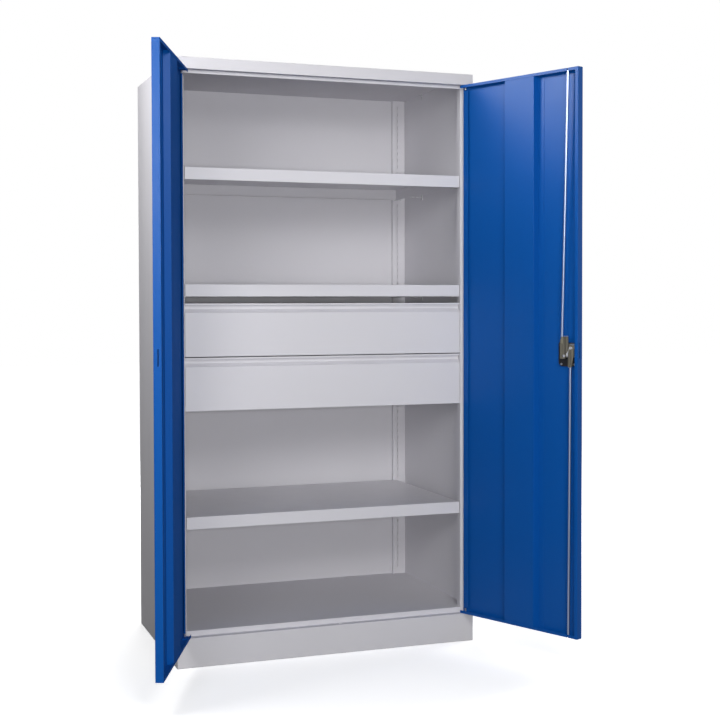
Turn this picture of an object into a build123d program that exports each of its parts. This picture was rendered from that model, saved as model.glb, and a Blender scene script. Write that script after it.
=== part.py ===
from build123d import *
import math
import os

os.makedirs("parts", exist_ok=True)

# Heavy-duty storage cabinet with two hinged doors, three shelves and two drawers.
# Millimetres. X runs across the front, +Y to the back, +Z up. The floor is z = 0, the
# closed body is centred on x = 0 and y = 0, and the doors are built open, as they rest.

# Body
WIDTH = 1035.0
DEPTH = 640.0
HEIGHT = 1950.0
SHEET = 1.5                     # body sheet
BACK_FLANGE = 20.0              # folded edges behind the back panel
FOOT_FLANGE = 18.5              # inward folds that stand on the floor

# Face frame
FASCIA_HEIGHT = 37.0
PLINTH_HEIGHT = 96.0
STILE_FACE = 15.0               # width of the stile's front face
STOP_SETBACK = 26.0             # door stop, behind the front plane
STOP_LIP = 20.3                 # width of the stop strip on a stile
STOP_RETURN = 26.0              # depth of the fold behind the stop strip
TOP_STOP_DROP = 10.0            # top stop lip hangs this far below the fascia

# Floor
FLOOR_STEP = 17.0               # floor above the plinth ledge
PANEL_GAP = 0.3                 # between sheets that only lie side by side

# Uprights
FRONT_UPRIGHT_DEPTH = 14.0
FRONT_UPRIGHT_WIDTH = 40.0
FRONT_UPRIGHT_SETBACK = 56.0    # from the front plane
REAR_UPRIGHT_DEPTH = 15.0
REAR_UPRIGHT_WIDTH = 50.0
REAR_SLOT_INSET = 31.3          # slot row, from the side wall
SLOT_WIDTH = 4.0
SLOT_HEIGHT = 12.0
SLOT_PITCH = 25.0
FIRST_SLOT_RISE = 32.0          # lowest slot's middle above the floor panel
SLOT_END_GAP = 20.0             # no slot's middle is nearer to the roof

# Shelves
SHELF_GAP_SIDE = 2.7            # shelf's end inside the clear opening
SHELF_GAP_REAR = 2.0            # shelf to the rear uprights
SHELF_SETBACK = 28.0            # shelf and drawer fronts, behind the front plane
SHELF_HEIGHT = 39.0
SHELF_SHEET = 1.2
SHELF_HEM = 15.0
SHELF_EDGE_ROUND = 1.0
SHELF_SLOTS = {"upper": 57, "middle": 42, "lower": 12}     # slot that carries each shelf

# Shelf clips
CLIP_SHEET = 1.6
CLIP_WIDTH = 12.0
CLIP_RISE = 14.0                # plate above the shelf's lower edge
CLIP_DROP = 2.0                 # tongue thickness, under the shelf
CLIP_REACH = 10.0               # tongue under the shelf
CLIP_TAB = 3.0                  # tab through the slot
CLIP_TAB_HEIGHT = 11.0
CLIP_TAB_WIDTH = 3.4
TAB_ABOVE_SHELF = 4.0           # slot middle above the shelf's lower edge
REAR_TONGUE = 24.0
SIDE_CLIP_SETBACK = 450.0       # clips in the middle of the side wall
SIDE_CLIP_BELOW = 12.0
SIDE_CLIP_ABOVE = 13.0
ROOF_CLIP_HEIGHT = 18.0

# Doors: closed position, u from the hinge edge, v from the outer skin
MEETING_GAP = 3.0               # between the closed doors
DOOR_DEPTH = 24.0
DOOR_SHEET = 1.2
DOOR_GAP_SIDE = 2.0             # hinge edge to stile
DOOR_GAP_END = 2.0              # door to fascia and to plinth
PIVOT_U = 8.0
PIVOT_V = 5.0
HINGE_RETURN = 7.0              # depth of the fold along the hinge edge
HINGE_HEM = 22.0
HINGE_HEM_START = 17.0          # hem stops this far from the door's ends
FREE_LIP = 12.0
END_LIP = 9.3
RIGHT_REST_ANGLE = 113.48
LEFT_REST_ANGLE = 111.35
WELD_MARK_U = 18.0
WELD_MARK_RADIUS = 2.5
WELD_MARK_DEPTH = 0.4
WELD_MARK_SHARES = [0.033, 0.094, 0.188, 0.281, 0.374, 0.467, 0.569, 0.670, 0.771, 0.865, 0.963]

# Door stiffener: a hat section along the middle of each door
HAT_WIDTH = 123.0
HAT_OFFSET = 9.0                # its middle, from the door's middle to the free edge
HAT_FOOT = 21.0
HAT_LEAN = 5.0                  # how far a side wall leans out at its foot
HAT_SHEET = 1.0
HAT_END_GAP = 0.5

# Hinges
PIN_RADIUS = 3.0
PIN_RUNNING_FIT = 0.06
PIN_IN_DOOR = 14.0
PIN_IN_FRAME = 8.0
WASHER_RADIUS = 4.6
WASHER_GAP = 0.2
HINGE_PLATE_WIDTH = 36.0
HINGE_PLATE_THICKNESS = 3.0

# Lock on the right door, measured from the lock's centre
LOCK_FROM_EDGE = 43.5           # centre to the door's free edge
LOCK_Z = 1011.5
CASE_HINGE_SIDE = 41.0
CASE_FREE_SIDE = 28.5
CASE_BELOW = 46.6
CASE_ABOVE = 29.5
CASE_DEPTH = 10.8
CASE_CORNER_LOW = 14.0
CASE_CORNER_HIGH = 4.0
BOWL_RADIUS = 27.0
BOWL_DEPTH = 9.0
NECK_RADIUS = 29.7
SKIN_HOLE_RADIUS = 30.0
ESCUTCHEON_RADIUS = 33.0
ESCUTCHEON_THICKNESS = 2.0
ESCUTCHEON_BEVEL = 0.8
CASE_SCREWS = [(-29.0, -39.5), (21.5, -39.5), (-31.5, 21.5)]
CASE_SCREW_RADIUS = 1.5
CASE_SCREW_HEAD = 3.4
CASE_SCREW_HEAD_HEIGHT = 1.6
CROSS_LENGTH = 4.6
CROSS_WIDTH = 0.9
CROSS_DEPTH = 0.6

# Handle, cam and cylinder
GRIP_LENGTH = 50.0
GRIP_WIDTH = 13.0
GRIP_PROUD = 2.0                # grip in front of the door skin
GRIP_HUB_RADIUS = 10.5
GRIP_ROUND = 1.2
GRIP_FLOOR_GAP = 0.3
SPINDLE_RADIUS = 5.0
SPINDLE_SQUARE = 7.0
BARREL_RADIUS = 7.0
BARREL_LENGTH = 9.0
BARREL_PROUD = 0.8
PLUG_RADIUS = 4.6
PLUG_LENGTH = 7.5
PLUG_PROUD = 0.3
PLUG_END_GAP = 0.3
KEYWAY_WIDTH = 1.1
KEYWAY_HEIGHT = 5.6
KEYWAY_DEPTH = 5.0
CAM_V = 16.0
CAM_THICKNESS = 2.5
CAM_HUB_RADIUS = 14.0
CAM_ARM_WIDTH = 11.0
ROD_PIN_ORBIT = 18.0
LATCH_PIN_ORBIT = 10.0
CAM_PIN_RADIUS = 2.5
CAM_PIN_HEAD_RADIUS = 4.2
CAM_PIN_HEAD_HEIGHT = 1.2
CAM_PIN_HEAD_GAP = 0.3
CAM_SCREW_HEAD_RADIUS = 3.0
CAM_SCREW_HEAD_DEPTH = 1.5
CAM_SCREW_RADIUS = 1.8
CAM_SCREW_LENGTH = 7.0
CAM_SCREW_SLOT = 4.0
CAM_SCREW_END_GAP = 1.0
HANDLE_TURN = 90.0              # from open, as built, to locked

# Locking rods
ROD_RADIUS = 4.0
ROD_V = 20.0
ROD_HOLE_GAP = 0.4
ROD_PLATE = 2.0                 # thickness of the flat rod ends
ROD_SLOT_GAP = 0.9              # slot above and below a cam pin
ROD_SLOT_END_GAP = 0.8
ROD_TIP_ROUND = 1.2
ROD_HOLE_PLAY = 2.0             # across the door, in the holes of the frame
UPPER_FOOT_SIDE = 21.2          # rod's foot, towards the hinge
UPPER_TIP_SIDE = 1.2            # rod's tip, towards the free edge
UPPER_TIP_INSET = 6.0           # unlocked tip, below the door's top
LOWER_HEAD_SIDE = 12.2          # rod's head, towards the free edge
LOWER_TIP_SIDE = 6.4            # rod's tip, towards the free edge
LOWER_TIP_INSET = 9.0           # unlocked tip, above the door's bottom
UPPER_PLATE_HINGE_SIDE = 28.5
UPPER_PLATE_FREE_SIDE = 3.5
UPPER_PLATE_RISE = 51.5
UPPER_PLATE_LAP = 25.0          # rod along its plate
UPPER_PLATE_STEP = 9.0          # cut corner beside the rod
UPPER_PLATE_TAPER = 14.0
LOWER_PLATE_START = 3.0
LOWER_PLATE_FREE_SIDE = 25.0
LOWER_PLATE_DROP = 49.5
LOWER_PLATE_LAP = 8.0
LOWER_PLATE_TIP = 14.0
LOWER_PLATE_TAPER = 14.0
PLATE_BEYOND_SLOT = 6.0
PLATE_BESIDE_SLOT = 3.0
PLATE_SHOULDER = 4.0
PLATE_SLOPE = 10.0
PLATE_CORNER = 2.0

# Latch between the doors
LATCH_V = 12.5
LATCH_THICKNESS = 3.0
LATCH_HEIGHT = 44.0
LATCH_RISE = 4.65               # bolt's middle above the lock's centre
LATCH_HINGE_SIDE = 17.5         # bolt beyond the lock's centre
LATCH_INSET = 2.5               # unlocked nose inside the door's free edge
LATCH_NOSE_ROUND = 3.0
LATCH_SLOT_END_GAP = 2.55
LATCH_SLOT_SIDE_GAP = 0.75
LATCH_SPINDLE_GAP = 0.6
LATCH_PIN_GAP = 0.6
RAIL_HEIGHT = 2.2
RAIL_GAP = 0.3
RAIL_HINGE_SIDE = 25.5

# Drawers
DRAWER_GAP_SIDE = 1.5           # front's end inside the clear opening
DRAWER_GAP_ABOVE = 22.5         # upper front below the middle shelf
DRAWER_GAP_BETWEEN = 3.0
DRAWER_FRONT_HEIGHT = 172.0
DRAWER_SHEET = 1.2
PULL_LIP = 6.0
PULL_BAND = 12.0
PULL_SLOPE = 12.5
PULL_SETBACK = 14.0
PULL_TOP_RETURN = 30.0
FRONT_FOOT_RETURN = 20.0
TRAY_RISE = 4.0                 # tray above the front's lower edge
TRAY_TOP_DROP = 40.0            # tray's rim below the front's top
TRAY_GAP_REAR = 30.0            # tray's rear, before the shelf's rear edge

# Telescopic runners, nested channels
RUNNER_SHEET = 1.5
RUNNER_RISE = 66.0              # runner's middle above the front's lower edge
RUNNER_GAP = 0.5                # between nested channels
CHANNEL_DEPTH = 14.0
CHANNEL_HEIGHT = 40.0           # the drawer's channel, the innermost
RAIL_GAP_SIDE = 2.2             # fixed channel's outer face inside the clear opening
RUNNER_SPACE = 24.0             # tray's side to the fixed channel's outer face
MID_WEB_INSET = 4.5             # mid channel's web, inside the fixed channel's web
RUNNER_FRONT = {"drawer": 40.0, "mid": 42.0, "rail": 45.0}
RUNNER_GAP_REAR = {"drawer": 32.0, "mid": 30.0, "rail": 24.0}     # before the shelf's rear edge
BRACKET_HEIGHT = 30.0
BRACKET_DEPTH = 20.0
REAR_BRACKET_LENGTH = 60.0

# Derived planes
FRONT = -DEPTH / 2
BACK = DEPTH / 2
HALF = WIDTH / 2
WALL = HALF - SHEET                         # inner face of a side panel
FASCIA_Z = HEIGHT - FASCIA_HEIGHT
STILE_IN = HALF - STILE_FACE                # face beside the door
STOP_Y = FRONT + STOP_SETBACK
OPENING_HALF = STILE_IN - STOP_LIP          # half of the clear opening
FLOOR_Z = PLINTH_HEIGHT + FLOOR_STEP
ROOF_UNDER = HEIGHT - SHEET
BACK_IN = BACK - 2 * SHEET                  # inner face of the back panel
DOOR_Z0 = PLINTH_HEIGHT + DOOR_GAP_END
DOOR_Z1 = FASCIA_Z - DOOR_GAP_END
HINGE_EDGE = STILE_IN - DOOR_GAP_SIDE
PIVOT_X = HINGE_EDGE - PIVOT_U
PIVOT_Y = FRONT + PIVOT_V
FRONT_UPRIGHT_X = WALL - FRONT_UPRIGHT_DEPTH
FRONT_UPRIGHT_Y = FRONT + FRONT_UPRIGHT_SETBACK
REAR_UPRIGHT_Y = BACK_IN - REAR_UPRIGHT_DEPTH
SHELF_Y0 = FRONT + SHELF_SETBACK
SHELF_Y1 = REAR_UPRIGHT_Y - SHELF_GAP_REAR
SHELF_HALF_WIDTH = OPENING_HALF - SHELF_GAP_SIDE
FIRST_SLOT = FLOOR_Z + FIRST_SLOT_RISE
SLOT_COUNT = int((ROOF_UNDER - SLOT_END_GAP - FIRST_SLOT) / SLOT_PITCH) + 1
SHELF_BOTTOMS = {name: FIRST_SLOT + slot * SLOT_PITCH - TAB_ABOVE_SHELF
                 for name, slot in SHELF_SLOTS.items()}
DOOR_WIDTH = HINGE_EDGE - MEETING_GAP / 2
HAT_START = (DOOR_WIDTH - HAT_WIDTH) / 2 + HAT_OFFSET
LOCK_U = DOOR_WIDTH - LOCK_FROM_EDGE
CASE_V = DOOR_SHEET + CASE_DEPTH            # lock case's inner face
LATCH_Z = LOCK_Z + LATCH_RISE
DRAWER_HALF_WIDTH = OPENING_HALF - DRAWER_GAP_SIDE
UPPER_DRAWER = SHELF_BOTTOMS["middle"] - DRAWER_GAP_ABOVE - DRAWER_FRONT_HEIGHT
LOWER_DRAWER = UPPER_DRAWER - DRAWER_GAP_BETWEEN - DRAWER_FRONT_HEIGHT
DRAWER_BOTTOMS = {"upper": UPPER_DRAWER, "lower": LOWER_DRAWER}
RAIL_HALF_SPAN = OPENING_HALF - RAIL_GAP_SIDE
TRAY_HALF_WIDTH = RAIL_HALF_SPAN - RUNNER_SPACE


# Basic shapes

def block(x0, x1, y0, y1, z0, z1):
    """A box given by its limits."""
    middle = Pos((x0 + x1) / 2, (y0 + y1) / 2, (z0 + z1) / 2)
    return middle * Box(x1 - x0, y1 - y0, z1 - z0)


def bar_z(x, y, z0, z1, radius):
    """A round bar along Z."""
    return Pos(x, y, (z0 + z1) / 2) * Cylinder(radius, z1 - z0)


def bar_y(x, z, y0, y1, radius):
    """A round bar along Y."""
    return Pos(x, (y0 + y1) / 2, z) * Rot(90, 0, 0) * Cylinder(radius, y1 - y0)


def prism_x(face, x0, x1):
    """A (y, z) outline drawn out along X."""
    return Pos(x0, 0, 0) * extrude(Plane.YZ * face, x1 - x0)


def prism_z(face, z0, z1):
    """An (x, y) outline drawn out along Z."""
    return Pos(0, 0, z0) * extrude(face, z1 - z0)


def mirrored(shape):
    """The same piece on the other side of the cabinet."""
    return mirror(shape, about=Plane.YZ)


def polygon(points):
    return make_face(Polyline(*points, close=True))


def heading(a, b):
    length = math.dist(a, b)
    return ((b[0] - a[0]) / length, (b[1] - a[1]) / length)


def folded(points, thickness):
    """Section of a folded sheet on the left of the line of points, round on the outside of each fold."""
    last = len(points) - 1
    other = []
    line_radii = []
    other_radii = []
    for i, point in enumerate(points):
        before = heading(points[i - 1], point) if i > 0 else heading(point, points[1])
        after = heading(point, points[i + 1]) if i < last else before
        turn = before[0] * after[1] - before[1] * after[0]
        along = before[0] * after[0] + before[1] * after[1]
        reach = thickness / (1 + along)
        side = (-before[1] - after[1], before[0] + after[0])
        other.append((point[0] + reach * side[0], point[1] + reach * side[1]))
        bent = 0 < i < last
        line_radii.append(thickness if bent and turn > 0 else 0)
        other_radii.append(thickness if bent and turn < 0 else 0)
    outline = points + other[::-1]
    radii = line_radii + other_radii[::-1]
    return make_face(FilletPolyline(*outline, radius=radii, close=True))


# Body panels

def side_panel():
    """Right side wall with the front stile, door stop and rear flange folded on it."""
    stop_return_y = STOP_Y + STOP_RETURN
    rear = [(HALF, BACK), (HALF - BACK_FLANGE, BACK)]
    stile = [(OPENING_HALF, stop_return_y), (OPENING_HALF, STOP_Y), (STILE_IN, STOP_Y)]
    stile += [(STILE_IN, FRONT), (HALF, FRONT)]
    plain = folded([(HALF, FRONT + SHEET)] + rear, SHEET)
    panel = prism_z(folded(stile + rear, SHEET), PLINTH_HEIGHT, FASCIA_Z)
    panel += prism_z(plain, 0, PLINTH_HEIGHT)
    panel += prism_z(plain, FASCIA_Z, ROOF_UNDER)
    foot_y = BACK - 2 * SHEET - FOOT_FLANGE - PANEL_GAP
    panel += block(WALL - FOOT_FLANGE, WALL, -foot_y, foot_y, 0, SHEET)
    return panel


def roof_panel():
    """Roof with the fascia, its return, the top door stop and the rear flange."""
    cap_line = [(BACK, HEIGHT), (FRONT, HEIGHT), (FRONT, FASCIA_Z)]
    full_line = cap_line + [(STOP_Y, FASCIA_Z)]
    panel = prism_x(folded(full_line, SHEET), -WALL, WALL)
    panel += prism_x(folded(cap_line, SHEET), WALL, HALF)
    panel += prism_x(folded(cap_line, SHEET), -HALF, -WALL)
    lip = block(-OPENING_HALF, OPENING_HALF, STOP_Y - SHEET, STOP_Y, 0, TOP_STOP_DROP + SHEET)
    panel += Pos(0, SHEET, FASCIA_Z - TOP_STOP_DROP) * lip
    flange = HALF - BACK_FLANGE - PANEL_GAP
    panel += block(-flange, flange, BACK - SHEET, BACK, HEIGHT - BACK_FLANGE, ROOF_UNDER)
    for side in (-1, 1):
        panel -= bar_z(side * PIVOT_X, PIVOT_Y, FASCIA_Z - 1, FASCIA_Z + SHEET + 1, PIN_RADIUS)
    panel -= frame_rod_hole("upper", FASCIA_Z - 1, FASCIA_Z + SHEET + 1)
    return panel


def plinth_front():
    """Front plinth with the ledge under the doors and a folded foot."""
    line = [(STOP_Y, PLINTH_HEIGHT), (FRONT, PLINTH_HEIGHT), (FRONT, 0)]
    line += [(FRONT + SHEET + FOOT_FLANGE, 0)]
    panel = prism_x(folded(line, SHEET), -WALL, WALL)
    for x0, x1 in ((-HALF, -WALL), (WALL, HALF)):
        panel += block(x0, x1, FRONT, FRONT + SHEET, 0, PLINTH_HEIGHT)
    for side in (-1, 1):
        panel -= bar_z(side * PIVOT_X, PIVOT_Y, PLINTH_HEIGHT - SHEET - 1, PLINTH_HEIGHT + 1, PIN_RADIUS)
    panel -= frame_rod_hole("lower", PLINTH_HEIGHT - SHEET - 1, PLINTH_HEIGHT + 1)
    return panel


def plinth_rear():
    """Rear plinth, a channel between the side panels."""
    y1 = BACK - SHEET
    y0 = y1 - SHEET - FOOT_FLANGE
    line = [(y0, 0), (y1, 0), (y1, PLINTH_HEIGHT), (y0, PLINTH_HEIGHT)]
    return prism_x(folded(line, SHEET), -WALL, WALL)


def back_panel():
    return block(-WALL, WALL, BACK_IN, BACK - SHEET, PLINTH_HEIGHT, ROOF_UNDER)


def floor_outline(inset):
    """Floor panel's outline, notched round the folds of the stiles."""
    front = STOP_Y + inset
    back = BACK_IN - inset
    notch = STOP_Y + STOP_RETURN + PANEL_GAP + inset
    narrow = OPENING_HALF - PANEL_GAP - inset
    wide = WALL - inset
    points = [(-narrow, front), (narrow, front), (narrow, notch), (wide, notch)]
    points += [(wide, back), (-wide, back), (-wide, notch), (-narrow, notch)]
    return polygon(points)


def floor_panel():
    """Floor tray, turned down, on the plinth ledges."""
    tray = prism_z(floor_outline(0), PLINTH_HEIGHT, FLOOR_Z)
    tray -= prism_z(floor_outline(SHEET), PLINTH_HEIGHT - 1, FLOOR_Z - SHEET)
    return tray


# Uprights and shelves

def slot_heights():
    return [FIRST_SLOT + i * SLOT_PITCH for i in range(SLOT_COUNT)]


def front_upright():
    """Right front upright, a shallow channel on the side wall with a row of slots."""
    y0 = FRONT_UPRIGHT_Y
    y1 = y0 + FRONT_UPRIGHT_WIDTH
    x0 = FRONT_UPRIGHT_X
    line = [(WALL, y1), (x0, y1), (x0, y0), (WALL, y0)]
    upright = prism_z(folded(line, SHEET), FLOOR_Z, ROOF_UNDER)
    middle = (y0 + y1) / 2
    half = SLOT_WIDTH / 2
    cuts = [block(x0 - 1, x0 + SHEET + 1, middle - half, middle + half,
                  z - SLOT_HEIGHT / 2, z + SLOT_HEIGHT / 2) for z in slot_heights()]
    return upright - cuts


def rear_upright():
    """Right rear upright, a channel in the back corner with a row of slots."""
    y0 = REAR_UPRIGHT_Y
    x0 = WALL - REAR_UPRIGHT_WIDTH
    line = [(x0, BACK_IN), (x0, y0), (WALL, y0), (WALL, BACK_IN)]
    upright = prism_z(folded(line, SHEET), FLOOR_Z, ROOF_UNDER)
    middle = WALL - REAR_SLOT_INSET
    half = SLOT_WIDTH / 2
    cuts = [block(middle - half, middle + half, y0 - 1, y0 + SHEET + 1,
                  z - SLOT_HEIGHT / 2, z + SLOT_HEIGHT / 2) for z in slot_heights()]
    return upright - cuts


def shelf(bottom):
    """Shelf tray, turned down, with hems under its front and rear edges."""
    top = bottom + SHELF_HEIGHT
    x1 = SHELF_HALF_WIDTH
    t = SHELF_SHEET
    tray = block(-x1, x1, SHELF_Y0, SHELF_Y1, bottom, top)
    tray -= block(-x1 + t, x1 - t, SHELF_Y0 + t, SHELF_Y1 - t, bottom - 1, top - t)
    tray += block(-x1 + t, x1 - t, SHELF_Y0 + t, SHELF_Y0 + SHELF_HEM, bottom, bottom + t)
    tray += block(-x1 + t, x1 - t, SHELF_Y1 - SHELF_HEM, SHELF_Y1 - t, bottom, bottom + t)
    rim = tray.faces().sort_by(Axis.Z)[-1].edges()
    return fillet(rim, SHELF_EDGE_ROUND)


def front_clip(bottom):
    """Right front clip: hooked in the front upright, its tongue under the shelf's end."""
    y = FRONT_UPRIGHT_Y + FRONT_UPRIGHT_WIDTH / 2
    x1 = FRONT_UPRIGHT_X
    x0 = x1 - CLIP_SHEET
    y0 = y - CLIP_WIDTH / 2
    y1 = y + CLIP_WIDTH / 2
    clip = block(x0, x1, y0, y1, bottom - CLIP_DROP, bottom + CLIP_RISE)
    clip += block(SHELF_HALF_WIDTH - CLIP_REACH, x0, y0, y1, bottom - CLIP_DROP, bottom)
    tab_z = bottom + TAB_ABOVE_SHELF
    clip += block(x1, x1 + CLIP_TAB, y - CLIP_TAB_WIDTH / 2, y + CLIP_TAB_WIDTH / 2,
                  tab_z - CLIP_TAB_HEIGHT / 2, tab_z + CLIP_TAB_HEIGHT / 2)
    return clip


def rear_clip(bottom):
    """Right rear clip: hooked in the rear upright, its tongue under the shelf's corner."""
    x = WALL - REAR_SLOT_INSET
    y1 = REAR_UPRIGHT_Y
    y0 = y1 - CLIP_SHEET
    x1 = x + CLIP_WIDTH / 2
    clip = block(x - CLIP_WIDTH / 2, x1, y0, y1, bottom - CLIP_DROP, bottom + CLIP_RISE)
    clip += block(SHELF_HALF_WIDTH - CLIP_REACH, x1, y0 - REAR_TONGUE, y0, bottom - CLIP_DROP, bottom)
    tab_z = bottom + TAB_ABOVE_SHELF
    clip += block(x - CLIP_TAB_WIDTH / 2, x + CLIP_TAB_WIDTH / 2, y1, y1 + CLIP_TAB,
                  tab_z - CLIP_TAB_HEIGHT / 2, tab_z + CLIP_TAB_HEIGHT / 2)
    return clip


def side_clip(bottom):
    """Right side clip: fixed on the wall, its tongue under the middle of the shelf's end."""
    y = FRONT + SIDE_CLIP_SETBACK
    x0 = WALL - CLIP_SHEET
    y0 = y - CLIP_WIDTH / 2
    y1 = y + CLIP_WIDTH / 2
    clip = block(x0, WALL, y0, y1, bottom - SIDE_CLIP_BELOW, bottom + SIDE_CLIP_ABOVE)
    clip += block(SHELF_HALF_WIDTH - CLIP_REACH, x0, y0, y1, bottom - CLIP_DROP, bottom)
    return clip


def roof_clip():
    """Right roof clip: a small angle that ties the roof to the side wall."""
    y = FRONT + SIDE_CLIP_SETBACK
    y0 = y - CLIP_WIDTH / 2
    y1 = y + CLIP_WIDTH / 2
    clip = block(WALL - CLIP_SHEET, WALL, y0, y1, ROOF_UNDER - ROOF_CLIP_HEIGHT, ROOF_UNDER)
    clip += block(WALL - CLIP_WIDTH, WALL - CLIP_SHEET, y0, y1, ROOF_UNDER - CLIP_SHEET, ROOF_UNDER)
    return clip


def pairs(shapes):
    """Right-hand pieces and their left-hand mirror images, as one set of solids."""
    return Compound([solid for shape in shapes for part in (shape, mirrored(shape))
                     for solid in part.solids()])


# Hinges

def hinge_pins():
    """Two pins fixed in the plinth ledge and two in the fascia's return."""
    low_end = PLINTH_HEIGHT - SHEET - PIN_IN_FRAME
    high_end = FASCIA_Z + SHEET + PIN_IN_FRAME
    low = bar_z(PIVOT_X, PIVOT_Y, low_end, DOOR_Z0 + PIN_IN_DOOR, PIN_RADIUS)
    high = bar_z(PIVOT_X, PIVOT_Y, DOOR_Z1 - PIN_IN_DOOR, high_end, PIN_RADIUS)
    return pairs([low, high])


def hinge_washers():
    """Spacing washers between the doors and the frame."""
    low = bar_z(PIVOT_X, PIVOT_Y, PLINTH_HEIGHT, DOOR_Z0 - WASHER_GAP, WASHER_RADIUS)
    low -= bar_z(PIVOT_X, PIVOT_Y, PLINTH_HEIGHT - 1, DOOR_Z0 + 1, PIN_RADIUS)
    high = bar_z(PIVOT_X, PIVOT_Y, DOOR_Z1 + WASHER_GAP, FASCIA_Z, WASHER_RADIUS)
    high -= bar_z(PIVOT_X, PIVOT_Y, DOOR_Z1 - 1, FASCIA_Z + 1, PIN_RADIUS)
    return pairs([low, high])


# Doors, built in door coordinates: X is u, Y is v

def turned(shape, pivot_x, angle):
    """A shape swung about a door's hinge line."""
    return Pos(pivot_x, PIVOT_Y, 0) * Rot(0, 0, angle) * Pos(-pivot_x, -PIVOT_Y, 0) * shape


def on_left_door(shape, angle=LEFT_REST_ANGLE):
    closed = Pos(-HINGE_EDGE, FRONT, 0) * shape
    return turned(closed, -PIVOT_X, -angle)


def on_right_door(shape, angle=RIGHT_REST_ANGLE):
    closed = Pos(HINGE_EDGE, FRONT, 0) * mirrored(shape)
    return turned(closed, PIVOT_X, angle)


def door_end(z0, z1):
    """A door's top or bottom plate."""
    corners = [(0, 0), (DOOR_WIDTH, 0), (DOOR_WIDTH, DOOR_DEPTH), (0, DOOR_DEPTH)]
    radii = [DOOR_SHEET, DOOR_SHEET, DOOR_SHEET, 0]
    return prism_z(make_face(FilletPolyline(*corners, radius=radii, close=True)), z0, z1)


def door_tray():
    """Door skin with its folded edges, before any lock openings."""
    t = DOOR_SHEET
    w = DOOR_WIDTH
    d = DOOR_DEPTH
    free = [(0, 0), (w, 0), (w, d), (w - FREE_LIP, d)]
    plain = folded([(0, HINGE_RETURN)] + free, t)
    hemmed = folded([(HINGE_HEM, HINGE_RETURN), (0, HINGE_RETURN)] + free, t)
    hem_z0 = DOOR_Z0 + HINGE_HEM_START
    hem_z1 = DOOR_Z1 - HINGE_HEM_START
    tray = prism_z(hemmed, hem_z0, hem_z1)
    tray += prism_z(plain, DOOR_Z0 + t, hem_z0)
    tray += prism_z(plain, hem_z1, DOOR_Z1 - t)
    tray += door_end(DOOR_Z0, DOOR_Z0 + t)
    tray += door_end(DOOR_Z1 - t, DOOR_Z1)
    tray += block(0, w - t, d - t, d, DOOR_Z0 + t, DOOR_Z0 + END_LIP)
    tray += block(0, w - t, d - t, d, DOOR_Z1 - END_LIP, DOOR_Z1 - t)
    hole = PIN_RADIUS + PIN_RUNNING_FIT
    tray -= bar_z(PIVOT_U, PIVOT_V, DOOR_Z0 - 1, DOOR_Z0 + t + 1, hole)
    tray -= bar_z(PIVOT_U, PIVOT_V, DOOR_Z1 - t - 1, DOOR_Z1 + 1, hole)
    heights = [DOOR_Z0 + share * (DOOR_Z1 - DOOR_Z0) for share in WELD_MARK_SHARES]
    marks = [bar_y(WELD_MARK_U, z, HINGE_RETURN - WELD_MARK_DEPTH, HINGE_RETURN + 1, WELD_MARK_RADIUS)
             for z in heights]
    return tray - marks


def latch_slot():
    """The cut in a door's free edge that the latch passes."""
    v0 = LATCH_V - LATCH_SLOT_SIDE_GAP
    v1 = LATCH_V + LATCH_THICKNESS + LATCH_SLOT_SIDE_GAP
    half = LATCH_HEIGHT / 2 + LATCH_SLOT_END_GAP
    return block(DOOR_WIDTH - DOOR_SHEET - 1, DOOR_WIDTH + 1, v0, v1, LATCH_Z - half, LATCH_Z + half)


def left_door_skin():
    return door_tray() - latch_slot()


def right_door_skin():
    """Right door skin with openings for the handle, the latch and the rods."""
    skin = door_tray() - latch_slot()
    skin -= bar_y(LOCK_U, LOCK_Z, -1, DOOR_SHEET + 1, SKIN_HOLE_RADIUS)
    hole = ROD_RADIUS + ROD_HOLE_GAP
    skin -= door_rod_path("upper", hole, DOOR_Z1 - END_LIP - 1, DOOR_Z1 + 1)
    skin -= door_rod_path("lower", hole, DOOR_Z0 - 1, DOOR_Z0 + END_LIP + 1)
    return skin


def door_stiffener():
    """Hat section welded on the skin and tucked under the end lips."""
    high = DOOR_DEPTH - DOOR_SHEET
    low = DOOR_SHEET + HAT_SHEET
    u0 = HAT_START
    u1 = HAT_START + HAT_WIDTH
    foot1 = u1 + HAT_LEAN
    foot0 = u0 - HAT_LEAN
    line = [(foot1 + HAT_FOOT, low), (foot1, low), (u1, high)]
    line += [(u0, high), (foot0, low), (foot0 - HAT_FOOT, low)]
    z0 = DOOR_Z0 + DOOR_SHEET + HAT_END_GAP
    z1 = DOOR_Z1 - DOOR_SHEET - HAT_END_GAP
    return prism_z(folded(line, HAT_SHEET), z0, z1)


def door_hinge_plates():
    """Thick plates behind the end flanges that run on the hinge pins."""
    t = DOOR_SHEET
    plates = []
    for z0 in (DOOR_Z0 + t, DOOR_Z1 - t - HINGE_PLATE_THICKNESS):
        z1 = z0 + HINGE_PLATE_THICKNESS
        plate = block(t, HINGE_PLATE_WIDTH, t, DOOR_DEPTH - t, z0, z1)
        plate -= bar_z(PIVOT_U, PIVOT_V, z0 - 1, z1 + 1, PIN_RADIUS + PIN_RUNNING_FIT)
        plates += plate.solids()
    return Compound(plates)


# Lock, in the right door's coordinates

def rod_line(which):
    """Start point, unit direction and length of a rod's axis, as (u, z), away from the lock."""
    if which == "upper":
        start = (LOCK_U - UPPER_FOOT_SIDE, LOCK_Z + UPPER_PLATE_RISE - UPPER_PLATE_LAP)
        tip = (LOCK_U + UPPER_TIP_SIDE, DOOR_Z1 - UPPER_TIP_INSET)
    else:
        start = (LOCK_U + LOWER_HEAD_SIDE, LOCK_Z - LOWER_PLATE_DROP + LOWER_PLATE_LAP)
        tip = (LOCK_U + LOWER_TIP_SIDE, DOOR_Z0 + LOWER_TIP_INSET)
    return start, heading(start, tip), math.dist(start, tip)


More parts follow.
